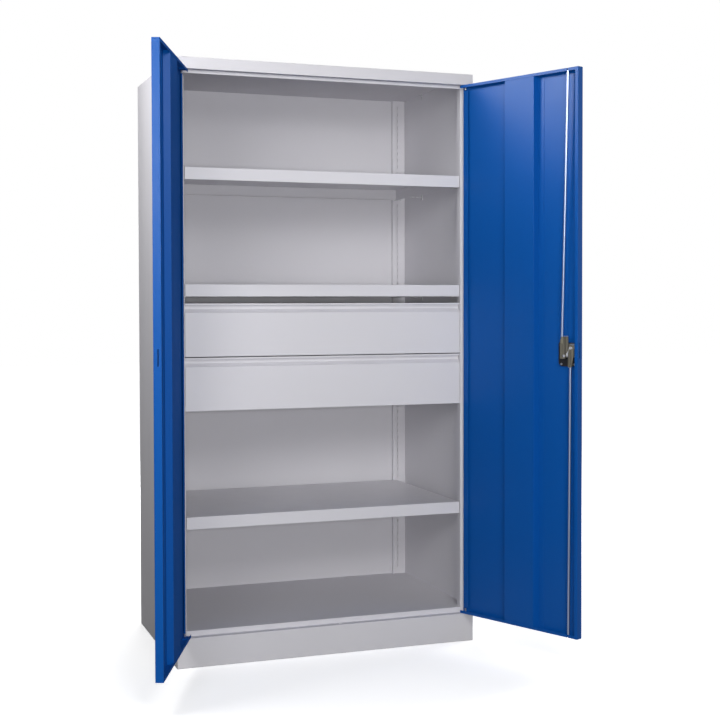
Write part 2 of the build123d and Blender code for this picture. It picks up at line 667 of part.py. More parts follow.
def rod_u_at(which, z):
    """Where a rod's axis crosses a height."""
    start, along, _ = rod_line(which)
    return start[0] + along[0] / along[1] * (z - start[1])


def door_rod_path(which, radius, z0, z1):
    """A short round hole along a rod's axis between two heights."""
    start, along, _ = rod_line(which)
    lean = math.degrees(math.atan2(along[0], along[1]))
    middle = (z0 + z1) / 2
    bore = Rot(0, lean, 0) * Cylinder(radius, z1 - z0)
    return Pos(rod_u_at(which, middle), ROD_V, middle) * bore


def frame_rod_hole(which, z0, z1):
    """The square hole in the frame that the closed door's rod enters."""
    x = HINGE_EDGE - rod_u_at(which, (z0 + z1) / 2)
    y = FRONT + ROD_V
    half_x = ROD_RADIUS + ROD_HOLE_PLAY
    half_y = ROD_RADIUS + ROD_HOLE_GAP
    return block(x - half_x, x + half_x, y - half_y, y + half_y, z0, z1)


def case_outline():
    """Lock case seen from inside, as (u, z), with large lower and small upper corners."""
    u0 = LOCK_U - CASE_HINGE_SIDE
    u1 = LOCK_U + CASE_FREE_SIDE
    z0 = LOCK_Z - CASE_BELOW
    z1 = LOCK_Z + CASE_ABOVE
    corners = [(u0, z0), (u1, z0), (u1, z1), (u0, z1)]
    radii = [CASE_CORNER_LOW, CASE_CORNER_LOW, CASE_CORNER_HIGH, CASE_CORNER_HIGH]
    return make_face(FilletPolyline(*corners, radius=radii, close=True))


def plate_y(face, v0, v1):
    """A (u, z) outline as a plate from v0 to v1."""
    return Pos(0, v1, 0) * extrude(Plane.XZ * face, v1 - v0)


def lock_case():
    """Black case on the inside of the skin: it holds the bowl and guides the latch."""
    v0 = DOOR_SHEET
    v1 = CASE_V
    case = plate_y(case_outline(), v0, v1)
    case += bar_y(LOCK_U, LOCK_Z, 0, v0 + 1, NECK_RADIUS)
    case -= bar_y(LOCK_U, LOCK_Z, -1, BOWL_DEPTH, BOWL_RADIUS)
    case -= bar_y(LOCK_U, LOCK_Z, BOWL_DEPTH - 1, v1 + 1, SPINDLE_RADIUS + PIN_RUNNING_FIT)
    rail_v1 = LATCH_V + LATCH_THICKNESS
    u0 = LOCK_U - RAIL_HINGE_SIDE
    u1 = LOCK_U + CASE_FREE_SIDE - CASE_CORNER_HIGH
    above = LATCH_Z + LATCH_HEIGHT / 2 + RAIL_GAP
    case += block(u0, u1, v1, rail_v1, above, above + RAIL_HEIGHT)
    below = LATCH_Z - LATCH_HEIGHT / 2 - RAIL_GAP
    case += block(u0, u1, v1, rail_v1, below - RAIL_HEIGHT, below)
    for u, z in case_screw_places():
        case -= bar_y(u, z, v0 - 1, v1 + 1, CASE_SCREW_RADIUS)
    return case


def case_screw_places():
    return [(LOCK_U + u, LOCK_Z + z) for u, z in CASE_SCREWS]


def lock_case_screws():
    v1 = CASE_V
    top = v1 + CASE_SCREW_HEAD_HEIGHT
    screws = []
    for u, z in case_screw_places():
        screw = bar_y(u, z, DOOR_SHEET, v1, CASE_SCREW_RADIUS)
        head = bar_y(u, z, v1, top, CASE_SCREW_HEAD)
        head -= Pos(u, top, z) * Box(CROSS_LENGTH, 2 * CROSS_DEPTH, CROSS_WIDTH)
        head -= Pos(u, top, z) * Box(CROSS_WIDTH, 2 * CROSS_DEPTH, CROSS_LENGTH)
        screws += (screw + head).solids()
    return Compound(screws)


def handle_escutcheon():
    """Ring round the bowl on the outside of the door."""
    ring = bar_y(LOCK_U, LOCK_Z, -ESCUTCHEON_THICKNESS, 0, ESCUTCHEON_RADIUS)
    ring = chamfer(ring.faces().sort_by(Axis.Y)[0].edges(), ESCUTCHEON_BEVEL)
    return ring - bar_y(LOCK_U, LOCK_Z, -ESCUTCHEON_THICKNESS - 1, 1, BOWL_RADIUS)


def stadium(length, width):
    """A bar with round ends, along the first axis."""
    return make_face(SlotOverall(length, width).edges())


def at_lock(face, angle=0):
    """An outline moved to the lock's centre and turned, as (u, z)."""
    return Pos(LOCK_U, LOCK_Z) * Rot(0, 0, angle) * face


def handle_grip():
    """Turn grip across the bowl with its hub and spindle."""
    v0 = -GRIP_PROUD
    v1 = BOWL_DEPTH - GRIP_FLOOR_GAP
    grip = plate_y(at_lock(stadium(GRIP_LENGTH, GRIP_WIDTH)), v0, v1)
    grip += bar_y(LOCK_U, LOCK_Z, v0, v1, GRIP_HUB_RADIUS)
    grip = fillet(grip.faces().sort_by(Axis.Y)[0].edges(), GRIP_ROUND)
    grip += bar_y(LOCK_U, LOCK_Z, v1 - 1, CAM_V, SPINDLE_RADIUS)
    square = at_lock(Rectangle(SPINDLE_SQUARE, SPINDLE_SQUARE))
    grip += plate_y(square, CAM_V, CAM_V + CAM_THICKNESS - CAM_SCREW_HEAD_DEPTH)
    grip -= bar_y(LOCK_U, LOCK_Z, v0 - 1, v0 - BARREL_PROUD + BARREL_LENGTH, BARREL_RADIUS)
    screw_v1 = CAM_V + CAM_THICKNESS - CAM_SCREW_HEAD_DEPTH
    screw_v0 = screw_v1 - CAM_SCREW_LENGTH - CAM_SCREW_END_GAP
    grip -= bar_y(LOCK_U, LOCK_Z, screw_v0, screw_v1 + 1, CAM_SCREW_RADIUS)
    return grip


def lock_cylinder():
    """Barrel of the cylinder in the grip's hub."""
    v0 = -GRIP_PROUD - BARREL_PROUD
    barrel = bar_y(LOCK_U, LOCK_Z, v0, v0 + BARREL_LENGTH, BARREL_RADIUS)
    bore = PLUG_RADIUS + PIN_RUNNING_FIT
    return barrel - bar_y(LOCK_U, LOCK_Z, v0 - 1, v0 - PLUG_PROUD + PLUG_LENGTH + PLUG_END_GAP, bore)


def lock_plug():
    """Turning plug with the keyway."""
    v0 = -GRIP_PROUD - BARREL_PROUD - PLUG_PROUD
    plug = bar_y(LOCK_U, LOCK_Z, v0, v0 + PLUG_LENGTH, PLUG_RADIUS)
    keyway = block(LOCK_U - KEYWAY_WIDTH / 2, LOCK_U + KEYWAY_WIDTH / 2, v0 - 1, v0 + KEYWAY_DEPTH,
                   LOCK_Z - KEYWAY_HEIGHT / 2, LOCK_Z + KEYWAY_HEIGHT / 2)
    return plug - keyway


def cam_pin(orbit, degrees):
    """A cam pin's place as (u, z), with the handle as it rests."""
    angle = math.radians(degrees)
    return LOCK_U + orbit * math.cos(angle), LOCK_Z + orbit * math.sin(angle)


UPPER_PIN_ANGLE = 180 + HANDLE_TURN / 2
LOWER_PIN_ANGLE = HANDLE_TURN / 2
LATCH_PIN_ANGLE = 90 + HANDLE_TURN / 2


def lock_cam():
    """Cam plate on the spindle, with two pins for the rods and one for the latch."""
    v0 = CAM_V
    v1 = CAM_V + CAM_THICKNESS
    arms = stadium(2 * ROD_PIN_ORBIT + CAM_ARM_WIDTH, CAM_ARM_WIDTH)
    cam = plate_y(at_lock(arms, LOWER_PIN_ANGLE), v0, v1)
    cam += bar_y(LOCK_U, LOCK_Z, v0, v1, CAM_HUB_RADIUS)
    cam -= plate_y(at_lock(Rectangle(SPINDLE_SQUARE, SPINDLE_SQUARE)), v0 - 1, v1 + 1)
    for angle in (UPPER_PIN_ANGLE, LOWER_PIN_ANGLE):
        u, z = cam_pin(ROD_PIN_ORBIT, angle)
        plate_top = ROD_V + ROD_PLATE / 2 + CAM_PIN_HEAD_GAP
        cam += bar_y(u, z, v0, plate_top, CAM_PIN_RADIUS)
        cam += bar_y(u, z, plate_top, plate_top + CAM_PIN_HEAD_HEIGHT, CAM_PIN_HEAD_RADIUS)
    u, z = cam_pin(LATCH_PIN_ORBIT, LATCH_PIN_ANGLE)
    cam += bar_y(u, z, LATCH_V, v1, CAM_PIN_RADIUS)
    return cam


def cam_screw():
    """Flush screw that holds the cam on the spindle."""
    v1 = CAM_V + CAM_THICKNESS
    v0 = v1 - CAM_SCREW_HEAD_DEPTH
    screw = bar_y(LOCK_U, LOCK_Z, v0, v1, CAM_SCREW_HEAD_RADIUS)
    screw -= Pos(LOCK_U, v1, LOCK_Z) * Box(CAM_SCREW_SLOT, 2 * CROSS_DEPTH, CROSS_WIDTH)
    return screw + bar_y(LOCK_U, LOCK_Z, v0 - CAM_SCREW_LENGTH, v0, CAM_SCREW_RADIUS)


def rod_bar(which):
    """Round part of a locking rod, with a rounded tip."""
    start, along, length = rod_line(which)
    bar = Cylinder(ROD_RADIUS, length, align=(Align.CENTER, Align.CENTER, Align.MIN))
    bar = chamfer(bar.faces().sort_by(Axis.Z)[-1].edges(), ROD_TIP_ROUND)
    lean = math.degrees(math.atan2(along[0], along[1]))
    return Pos(start[0], ROD_V, start[1]) * Rot(0, lean, 0) * bar


def rod_slot(angle):
    """Cross slot in a rod's flat end, where a cam pin drives it."""
    reach = ROD_PIN_ORBIT
    near = reach * math.cos(math.radians(HANDLE_TURN / 2))
    side = math.copysign(1, math.cos(math.radians(angle)))
    pin = CAM_PIN_RADIUS
    u0 = LOCK_U + side * (near - pin - ROD_SLOT_END_GAP)
    u1 = LOCK_U + side * (reach + pin + ROD_SLOT_END_GAP)
    z = cam_pin(ROD_PIN_ORBIT, angle)[1]
    half = pin + ROD_SLOT_GAP
    return min(u0, u1), max(u0, u1), z - half, z + half


def slotted_plate(corners, slot):
    """Flat rod end with its cross slot."""
    u0, u1, z0, z1 = slot
    v0 = ROD_V - ROD_PLATE / 2
    v1 = ROD_V + ROD_PLATE / 2
    plate = plate_y(make_face(FilletPolyline(*corners, radius=PLATE_CORNER, close=True)), v0, v1)
    return plate - block(u0, u1, v0 - 1, v1 + 1, z0, z1)


def upper_lock_rod():
    """Upper rod with its flat slotted end."""
    slot = rod_slot(UPPER_PIN_ANGLE)
    side = slot[1] + PLATE_BESIDE_SLOT
    bottom = slot[2] - PLATE_BEYOND_SLOT
    shoulder = slot[3] + PLATE_SHOULDER
    left = LOCK_U - UPPER_PLATE_HINGE_SIDE
    right = LOCK_U + UPPER_PLATE_FREE_SIDE
    top = LOCK_Z + UPPER_PLATE_RISE
    corners = [(left, bottom), (side, bottom), (side, shoulder), (right, shoulder + PLATE_SLOPE)]
    corners += [(right, top), (left + UPPER_PLATE_STEP, top), (left, top - UPPER_PLATE_TAPER)]
    return slotted_plate(corners, slot) + rod_bar("upper")


def lower_lock_rod():
    """Lower rod with its flat slotted end."""
    slot = rod_slot(LOWER_PIN_ANGLE)
    side = slot[0] - PLATE_BESIDE_SLOT
    top = slot[3] + PLATE_BEYOND_SLOT
    shoulder = slot[2] - PLATE_BEYOND_SLOT
    left = LOCK_U + LOWER_PLATE_START
    right = LOCK_U + LOWER_PLATE_FREE_SIDE
    bottom = LOCK_Z - LOWER_PLATE_DROP
    corners = [(left, bottom), (left + LOWER_PLATE_TIP, bottom), (right, slot[2] - LOWER_PLATE_TAPER)]
    corners += [(right, top), (side, top), (side, shoulder), (left, shoulder - PLATE_SLOPE)]
    return slotted_plate(corners, slot) + rod_bar("lower")


def latch_bolt():
    """Sliding bolt behind the cam, with a window for the spindle and the drive pin."""
    v0 = LATCH_V
    v1 = v0 + LATCH_THICKNESS
    half = LATCH_HEIGHT / 2
    start = LOCK_U - LATCH_HINGE_SIDE
    bolt = block(start, DOOR_WIDTH - LATCH_INSET, v0, v1, LATCH_Z - half, LATCH_Z + half)
    travel = 2 * LATCH_PIN_ORBIT * math.sin(math.radians(HANDLE_TURN / 2))
    hole = SPINDLE_RADIUS + LATCH_SPINDLE_GAP
    bolt -= block(LOCK_U - travel - hole, LOCK_U + hole, v0 - 1, v1 + 1, LOCK_Z - hole, LOCK_Z + hole)
    u, z = cam_pin(LATCH_PIN_ORBIT, LATCH_PIN_ANGLE)
    slot = CAM_PIN_RADIUS + LATCH_PIN_GAP
    top = LOCK_Z + LATCH_PIN_ORBIT + slot
    bolt -= block(u - slot, u + slot, v0 - 1, v1 + 1, LOCK_Z, top)
    nose = bolt.edges().filter_by(Axis.Y).sort_by(Axis.X)[-2:]
    return fillet(nose, LATCH_NOSE_ROUND)


# Drawers

def drawer_front(bottom):
    """Folded front with a recessed pull along its top edge."""
    y = SHELF_Y0
    top = bottom + DRAWER_FRONT_HEIGHT
    lip = top - PULL_LIP
    band = lip - PULL_BAND
    line = [(y + PULL_TOP_RETURN, top), (y, top), (y, lip), (y + PULL_SETBACK, lip)]
    line += [(y + PULL_SETBACK, band), (y, band - PULL_SLOPE), (y, bottom)]
    line += [(y + FRONT_FOOT_RETURN, bottom)]
    return prism_x(folded(line, DRAWER_SHEET), -DRAWER_HALF_WIDTH, DRAWER_HALF_WIDTH)


def drawer_tray(bottom):
    """Open tray behind the front."""
    t = DRAWER_SHEET
    x = TRAY_HALF_WIDTH
    y0 = SHELF_Y0 + t
    y1 = SHELF_Y1 - TRAY_GAP_REAR
    z0 = bottom + TRAY_RISE
    z1 = bottom + DRAWER_FRONT_HEIGHT - TRAY_TOP_DROP
    return block(-x, x, y0, y1, z0, z1) - block(-x + t, x - t, y0 + t, y1 - t, z0 + t, z1 + 1)


def channel(web_x, open_x, half_height, middle, y0, y1):
    """A runner channel: web on one side, open on the other."""
    t = RUNNER_SHEET
    x0, x1 = sorted((web_x, open_x))
    z0 = middle - half_height
    z1 = middle + half_height
    outer = block(x0, x1, y0, y1, z0, z1)
    if web_x < open_x:
        return outer - block(x0 + t, x1 + 1, y0 - 1, y1 + 1, z0 + t, z1 - t)
    return outer - block(x0 - 1, x1 - t, y0 - 1, y1 + 1, z0 + t, z1 - t)


def runner(kind, bottom):
    """Right-hand runner channel of one kind, at a drawer's height."""
    middle = bottom + RUNNER_RISE
    y0 = FRONT + RUNNER_FRONT[kind]
    y1 = SHELF_Y1 - RUNNER_GAP_REAR[kind]
    step = RUNNER_GAP + RUNNER_SHEET
    half = CHANNEL_HEIGHT / 2
    if kind == "drawer":
        return channel(TRAY_HALF_WIDTH, TRAY_HALF_WIDTH + CHANNEL_DEPTH, half, middle, y0, y1)
    if kind == "mid":
        web = RAIL_HALF_SPAN - MID_WEB_INSET
        return channel(web, web - CHANNEL_DEPTH, half + step, middle, y0, y1)
    return channel(RAIL_HALF_SPAN, RAIL_HALF_SPAN - CHANNEL_DEPTH, half + 2 * step, middle, y0, y1)


def front_bracket(bottom):
    """Right front bracket from the fixed channel to the front upright."""
    middle = bottom + RUNNER_RISE
    z0 = middle - BRACKET_HEIGHT / 2
    z1 = middle + BRACKET_HEIGHT / 2
    y = FRONT_UPRIGHT_Y + FRONT_UPRIGHT_WIDTH / 2
    y0 = y - BRACKET_DEPTH / 2
    y1 = y + BRACKET_DEPTH / 2
    x0 = RAIL_HALF_SPAN
    x1 = FRONT_UPRIGHT_X
    bracket = block(x0, x0 + SHEET, y0, y1, z0, z1) + block(x1 - SHEET, x1, y0, y1, z0, z1)
    return bracket + block(x0, x1, y0, y0 + SHEET, z0, z1)


def rear_bracket(bottom):
    """Right rear bracket from the fixed channel to the rear upright."""
    middle = bottom + RUNNER_RISE
    z0 = middle - BRACKET_HEIGHT / 2
    z1 = middle + BRACKET_HEIGHT / 2
    x0 = RAIL_HALF_SPAN
    y1 = REAR_UPRIGHT_Y
    bracket = block(x0, x0 + SHEET, y1 - REAR_BRACKET_LENGTH, y1, z0, z1)
    return bracket + block(x0, x0 + BRACKET_DEPTH, y1 - SHEET, y1, z0, z1)


def write(name, shape):
    """One file for each named piece or set of like pieces."""
    export_step(shape, "parts/" + name + ".step")


def write_body():
    write("right_side_panel", side_panel())
    write("left_side_panel", mirrored(side_panel()))
    write("roof_panel", roof_panel())
    write("back_panel", back_panel())
    write("plinth_front", plinth_front())
    write("plinth_rear", plinth_rear())
    write("floor_panel", floor_panel())
    write("front_upright_right", front_upright())
    write("front_upright_left", mirrored(front_upright()))
    write("rear_upright_right", rear_upright())
    write("rear_upright_left", mirrored(rear_upright()))
    write("hinge_pins", hinge_pins())
    write("hinge_washers", hinge_washers())


def write_shelves():
    for name, bottom in SHELF_BOTTOMS.items():
        write("shelf_" + name, shelf(bottom))
        write("shelf_clips_" + name, pairs([front_clip(bottom), rear_clip(bottom)]))
    write("shelf_side_clips", pairs([side_clip(bottom) for bottom in SHELF_BOTTOMS.values()]))
    write("roof_clips", pairs([roof_clip()]))


def write_doors():
    write("left_door_skin", on_left_door(left_door_skin()))
    write("left_door_stiffener", on_left_door(door_stiffener()))
    write("left_door_hinge_plates", on_left_door(door_hinge_plates()))
    write("right_door_skin", on_right_door(right_door_skin()))
    write("right_door_stiffener", on_right_door(door_stiffener()))
    write("right_door_hinge_plates", on_right_door(door_hinge_plates()))


def write_lock():
    write("lock_case", on_right_door(lock_case()))
    write("lock_case_screws", on_right_door(lock_case_screws()))
    write("handle_escutcheon", on_right_door(handle_escutcheon()))
    write("handle_grip", on_right_door(handle_grip()))
    write("lock_cylinder", on_right_door(lock_cylinder()))
    write("lock_plug", on_right_door(lock_plug()))
    write("lock_cam", on_right_door(lock_cam()))
    write("cam_screw", on_right_door(cam_screw()))
    write("upper_lock_rod", on_right_door(upper_lock_rod()))
    write("lower_lock_rod", on_right_door(lower_lock_rod()))
    write("latch_bolt", on_right_door(latch_bolt()))


def write_drawers():
    for name, bottom in DRAWER_BOTTOMS.items():
        write(name + "_drawer_front", drawer_front(bottom))
        write(name + "_drawer_tray", drawer_tray(bottom))
        write(name + "_drawer_channels", pairs([runner("drawer", bottom)]))
        write(name + "_runner_mid_channels", pairs([runner("mid", bottom)]))
        write(name + "_runner_rails", pairs([runner("rail", bottom)]))
    brackets = [bracket(bottom) for bottom in DRAWER_BOTTOMS.values()
                for bracket in (front_bracket, rear_bracket)]
    write("runner_brackets", pairs(brackets))


write_body()
write_shelves()
write_doors()
write_lock()
write_drawers()
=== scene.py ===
"""Heavy-duty storage cabinet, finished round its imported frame. Metres, +Z up, -Y to the front."""

import math

import bmesh
import bpy
from mathutils import Matrix, Vector


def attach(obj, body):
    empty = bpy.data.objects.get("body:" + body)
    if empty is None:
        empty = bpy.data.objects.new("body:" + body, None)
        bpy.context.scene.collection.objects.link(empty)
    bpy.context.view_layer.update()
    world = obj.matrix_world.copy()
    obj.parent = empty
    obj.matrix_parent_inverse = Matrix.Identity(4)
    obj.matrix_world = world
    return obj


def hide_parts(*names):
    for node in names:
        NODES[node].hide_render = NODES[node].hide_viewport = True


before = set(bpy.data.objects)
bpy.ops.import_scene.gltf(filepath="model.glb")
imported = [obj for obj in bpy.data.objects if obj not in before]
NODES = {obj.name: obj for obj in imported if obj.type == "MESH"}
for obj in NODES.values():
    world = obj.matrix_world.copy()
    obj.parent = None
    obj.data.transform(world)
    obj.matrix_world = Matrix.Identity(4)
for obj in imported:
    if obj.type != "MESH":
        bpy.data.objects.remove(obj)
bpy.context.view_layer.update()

bl_info = {
    "name": "Storage cabinet",
    "version": (1, 0, 0),
    "blender": (4, 5, 0),
    "location": "View3D > Sidebar > Cabinet",
    "description": "Finishes a steel storage cabinet round its frame",
    "category": "Object",
}

PANEL_NODES = (
    "left_side_panel", "right_side_panel", "roof_panel", "back_panel", "plinth_front",
    "plinth_rear", "floor_panel", "front_upright_left", "front_upright_right",
    "rear_upright_left", "rear_upright_right",
)
SHELF_NODES = ("shelf_upper", "shelf_middle", "shelf_lower")
DRAWER_NODES = (
    "upper_drawer_front", "upper_drawer_tray", "lower_drawer_front", "lower_drawer_tray",
)
DOOR_NODES = (
    "left_door_skin", "left_door_stiffener", "left_door_hinge_plates",
    "right_door_skin", "right_door_stiffener", "right_door_hinge_plates",
)
ZINC_NODES = (
    "upper_runner_rails", "lower_runner_rails", "runner_brackets",
    "upper_drawer_channels", "lower_drawer_channels", "upper_runner_mid_channels",
    "lower_runner_mid_channels", "latch_bolt", "hinge_pins", "hinge_washers",
    "lock_case_screws",
)
CLEAR_ZINC_AND_GLINT_NODES = (
    "shelf_clips_upper", "shelf_clips_middle", "shelf_clips_lower", "shelf_side_clips",
    "roof_clips", "lock_cam", "cam_screw",
)
ROD_NODES = ("upper_lock_rod", "lower_lock_rod")
CYLINDER_NODES = ("lock_cylinder", "lock_plug")


# Sizes and colours that a user may change

class CabinetFinish(bpy.types.PropertyGroup):
    """Colours and surface grain of the cabinet's finishes"""

    body_colour: bpy.props.FloatVectorProperty(
        name="Body", description="Powder coat of the body, shelves and drawers",
        default=(0.655, 0.645, 0.678), min=0.0, max=1.0, subtype="COLOR")
    door_colour: bpy.props.FloatVectorProperty(
        name="Doors", description="Powder coat of the doors",
        default=(0.0030, 0.080, 0.34), min=0.0, max=1.0, subtype="COLOR")
    zinc_colour: bpy.props.FloatVectorProperty(
        name="Zinc", description="Zinc plate of the runners, hinge parts, latch and screws",
        default=(0.60, 0.62, 0.64), min=0.0, max=1.0, subtype="COLOR")
    # painted highlight: the clips, cam and screw are near white, which stands in for their glints
    # as well as their clear zinc
    clear_zinc_and_glint_colour: bpy.props.FloatVectorProperty(
        name="Bright zinc", description="Clear zinc plate of the clips, the cam and its screw",
        default=(0.86, 0.87, 0.88), min=0.0, max=1.0, subtype="COLOR")
    rod_colour: bpy.props.FloatVectorProperty(
        name="Rods", description="Bright plate of the locking rods",
        default=(0.44, 0.52, 0.72), min=0.0, max=1.0, subtype="COLOR")
    link_colour: bpy.props.FloatVectorProperty(
        name="Links", description="Dull zinc plate of the flat links at the rods' lock ends",
        default=(0.20, 0.185, 0.14), min=0.0, max=1.0, subtype="COLOR")
    plastic_colour: bpy.props.FloatVectorProperty(
        name="Plastic", description="Moulded plastic of the lock case and handle",
        default=(0.007, 0.007, 0.008), min=0.0, max=1.0, subtype="COLOR")
    cylinder_colour: bpy.props.FloatVectorProperty(
        name="Cylinder", description="Nickel plate of the lock cylinder",
        default=(0.70, 0.69, 0.65), min=0.0, max=1.0, subtype="COLOR")
    coat_grain: bpy.props.FloatProperty(
        name="Coat grain", description="Size of the ripples in the powder coat",
        default=0.0022, min=0.0005, max=0.02, subtype="DISTANCE", unit="LENGTH")


class CabinetLock(bpy.types.PropertyGroup):
    """Moulded pieces of the lock in the right door"""

    edge_round: bpy.props.FloatProperty(
        name="Edge rounding", description="Radius on the edges of the moulded pieces",
        default=0.0011, min=0.0002, max=0.0018, subtype="DISTANCE", unit="LENGTH")
    ring_radius: bpy.props.FloatProperty(
        name="Ring", description="Outer radius of the ring round the handle",
        default=0.033, min=0.0305, max=0.036, subtype="DISTANCE", unit="LENGTH")


class CabinetStage(bpy.types.PropertyGroup):
    """Camera, lamps and floor round the cabinet"""

    lens: bpy.props.FloatProperty(
        name="Lens", description="Focal length on a 36 mm wide sensor",
        default=64.66, min=10.0, max=300.0, subtype="DISTANCE_CAMERA")
    camera_place: bpy.props.FloatVectorProperty(
        name="Camera", description="Where the camera stands",
        default=(-1.36555, -4.37327, 1.17035), subtype="TRANSLATION", unit="LENGTH")
    camera_turn: bpy.props.FloatVectorProperty(
        name="Camera turn", description="Turn of the camera about X, Y and Z",
        default=(1.54426607, 0.00219079, -0.34796417), subtype="EULER", unit="ROTATION")
    floor_size: bpy.props.FloatProperty(
        name="Floor", description="Width of the pale floor",
        default=40.0, min=5.0, max=200.0, subtype="DISTANCE", unit="LENGTH")
    floor_colour: bpy.props.FloatVectorProperty(
        name="Floor colour", description="Colour of the pale floor",
        default=(0.93, 0.93, 0.93), min=0.0, max=1.0, subtype="COLOR")


# Shader building blocks. Tones are multiples of a colour, a bump is its strength and its depth,
# and a range is the values of a noise between which its mask goes from none to full.

COAT_TONES = (0.985, 1.015)
COAT_TONE_RANGE = (0.3, 0.7)
COAT_MARKS_RANGE = (0.42, 0.72)
COAT_MARKS = 0.02               # how far the handling marks change the roughness
COAT_SLANT = (0.55, 0.85)       # how edge-on the view is where the coat starts and ends to dull
COAT_BUMP = (0.3, 0.00006)
PLATE_TONES = (0.93, 1.05)
PLATE_STREAKS = (0.75, 1.3)     # multiples of the plate's roughness
PLATE_STREAK_RANGE = (0.3, 0.7)
PLATE_CLOUD_RANGE = (0.35, 0.68)
PLATE_STRETCH = (1600.0, 1600.0, 18.0)
PLATE_BUMP_STRENGTH = 0.25
LINK_REACH = 0.048              # the rods' flat links lie this near to the lock's height
LINK_FADE = 0.001
# painted light and shade: the links' dull zinc runs from far darker to far paler in bands
LINK_PAINTED_BAND_TONES = (0.3, 1.6)
LINK_STRETCH = (0.07, 0.07, 0.25)
LINK_AND_ROD_ROUGHNESS = (0.42, 0.32)
LINK_AND_ROD_METAL = (0.55, 1.0)
ROD_BUMP = (0.2, 0.000004)
PLASTIC_TONES = (0.85, 1.25)
PLASTIC_POLISH = 0.07           # how far the polish changes the roughness
PLASTIC_POLISH_RANGE = (0.35, 0.7)
PLASTIC_CELLS = 1800.0
PLASTIC_BUMP = (0.3, 0.00008)
RESIN_IOR = 1.5


def link(tree, source, target):
    tree.links.new(source, target)


def feed(tree, value, target):
    """Links an output to a socket, or sets the socket to a value."""
    if isinstance(value, bpy.types.NodeSocket):
        link(tree, value, target)
    else:
        target.default_value = value


def new_group(name, inputs, outputs):
    """An empty shader node group, with its sockets given as pairs of label and kind."""
    tree = bpy.data.node_groups.new(name, "ShaderNodeTree")
    for direction, sockets in (("INPUT", inputs), ("OUTPUT", outputs)):
        for label, kind in sockets:
            tree.interface.new_socket(name=label, in_out=direction, socket_type=kind)
    return tree, tree.nodes.new("NodeGroupInput"), tree.nodes.new("NodeGroupOutput")


def noise(tree, vector, scale, detail, roughness=0.5):
    made = tree.nodes.new("ShaderNodeTexNoise")
    link(tree, vector, made.inputs["Vector"])
    feed(tree, scale, made.inputs["Scale"])
    made.inputs["Detail"].default_value = detail
    made.inputs["Roughness"].default_value = roughness
    return made.outputs["Fac"]


def math_node(tree, operation, *values):
    made = tree.nodes.new("ShaderNodeMath")
    made.operation = operation
    for value, socket in zip(values, made.inputs):
        feed(tree, value, socket)
    return made.outputs[0]


def spread(tree, value, low, high, to_low=0.0, to_high=1.0):
    """Maps a range of a value to another range."""
    made = tree.nodes.new("ShaderNodeMapRange")
    link(tree, value, made.inputs["Value"])
    made.inputs["From Min"].default_value = low
    made.inputs["From Max"].default_value = high
    made.inputs["To Min"].default_value = to_low
    made.inputs["To Max"].default_value = to_high
    return made.outputs["Result"]


def stretched(tree, vector, scale):
    made = tree.nodes.new("ShaderNodeMapping")
    made.inputs["Scale"].default_value = scale
    link(tree, vector, made.inputs["Vector"])
    return made.outputs["Vector"]


def coat_group(name):
    """Powder coat: small ripples, slow changes of tone and faint handling marks."""
    tree, into, out = new_group(
        name,
        [("Vector", "NodeSocketVector"), ("Grain", "NodeSocketFloat")],
        [("Height", "NodeSocketFloat"), ("Tone", "NodeSocketFloat"),
         ("Marks", "NodeSocketFloat")])
    vector = into.outputs["Vector"]
    ripple = noise(tree, vector, scale=into.outputs["Grain"], detail=2.0, roughness=0.45)
    tone = noise(tree, vector, scale=2.2, detail=3.0)
    marks = noise(tree, vector, scale=14.0, detail=6.0, roughness=0.62)
    link(tree, ripple, out.inputs["Height"])
    link(tree, spread(tree, tone, *COAT_TONE_RANGE), out.inputs["Tone"])
    link(tree, spread(tree, marks, *COAT_MARKS_RANGE), out.inputs["Marks"])
    return tree


def brushed_group(name):
    """Plated metal: fine lines drawn along Z, with cloudy patches."""
    tree, into, out = new_group(
        name,
        [("Vector", "NodeSocketVector")],
        [("Height", "NodeSocketFloat"), ("Streak", "NodeSocketFloat"),
         ("Cloud", "NodeSocketFloat")])
    vector = into.outputs["Vector"]
    drawn = stretched(tree, vector, PLATE_STRETCH)
    streak = noise(tree, drawn, scale=1.0, detail=3.0, roughness=0.6)
    cloud = noise(tree, vector, scale=60.0, detail=4.0, roughness=0.6)
    link(tree, streak, out.inputs["Height"])
    link(tree, spread(tree, streak, *PLATE_STREAK_RANGE), out.inputs["Streak"])
    link(tree, spread(tree, cloud, *PLATE_CLOUD_RANGE), out.inputs["Cloud"])
    return tree


def grain_group(name):
    """Moulded plastic: a fine leathered grain with a faint polish where it is touched."""
    tree, into, out = new_group(
        name,
        [("Vector", "NodeSocketVector")],
        [("Height", "NodeSocketFloat"), ("Polish", "NodeSocketFloat")])
    cells = tree.nodes.new("ShaderNodeTexVoronoi")
    cells.feature = "SMOOTH_F1"
    cells.inputs["Scale"].default_value = PLASTIC_CELLS
    link(tree, into.outputs["Vector"], cells.inputs["Vector"])
    polish = noise(tree, into.outputs["Vector"], scale=90.0, detail=4.0, roughness=0.6)
    link(tree, cells.outputs["Distance"], out.inputs["Height"])
    link(tree, spread(tree, polish, *PLASTIC_POLISH_RANGE), out.inputs["Polish"])
    return tree


GROUPS = {
    "powder_coat_surface": coat_group,
    "plated_metal_surface": brushed_group,
    "moulded_grain": grain_group,
}


def use_group(tree, name, vector):
    """Adds a shared group to a material, and builds the group the first time."""
    made = tree.nodes.new("ShaderNodeGroup")
    made.node_tree = bpy.data.node_groups.get(name) or GROUPS[name](name)
    link(tree, vector, made.inputs["Vector"])
    return made


def start_material(name):
    """A material with its shader, object coordinates and bump ready to be joined up."""
    material = bpy.data.materials.new(name)
    material.use_nodes = True
    tree = material.node_tree
    shader = tree.nodes["Principled BSDF"]
    place = tree.nodes.new("ShaderNodeTexCoord")
    bump = tree.nodes.new("ShaderNodeBump")
    link(tree, bump.outputs["Normal"], shader.inputs["Normal"])
    return material, tree, shader, place.outputs["Object"], bump


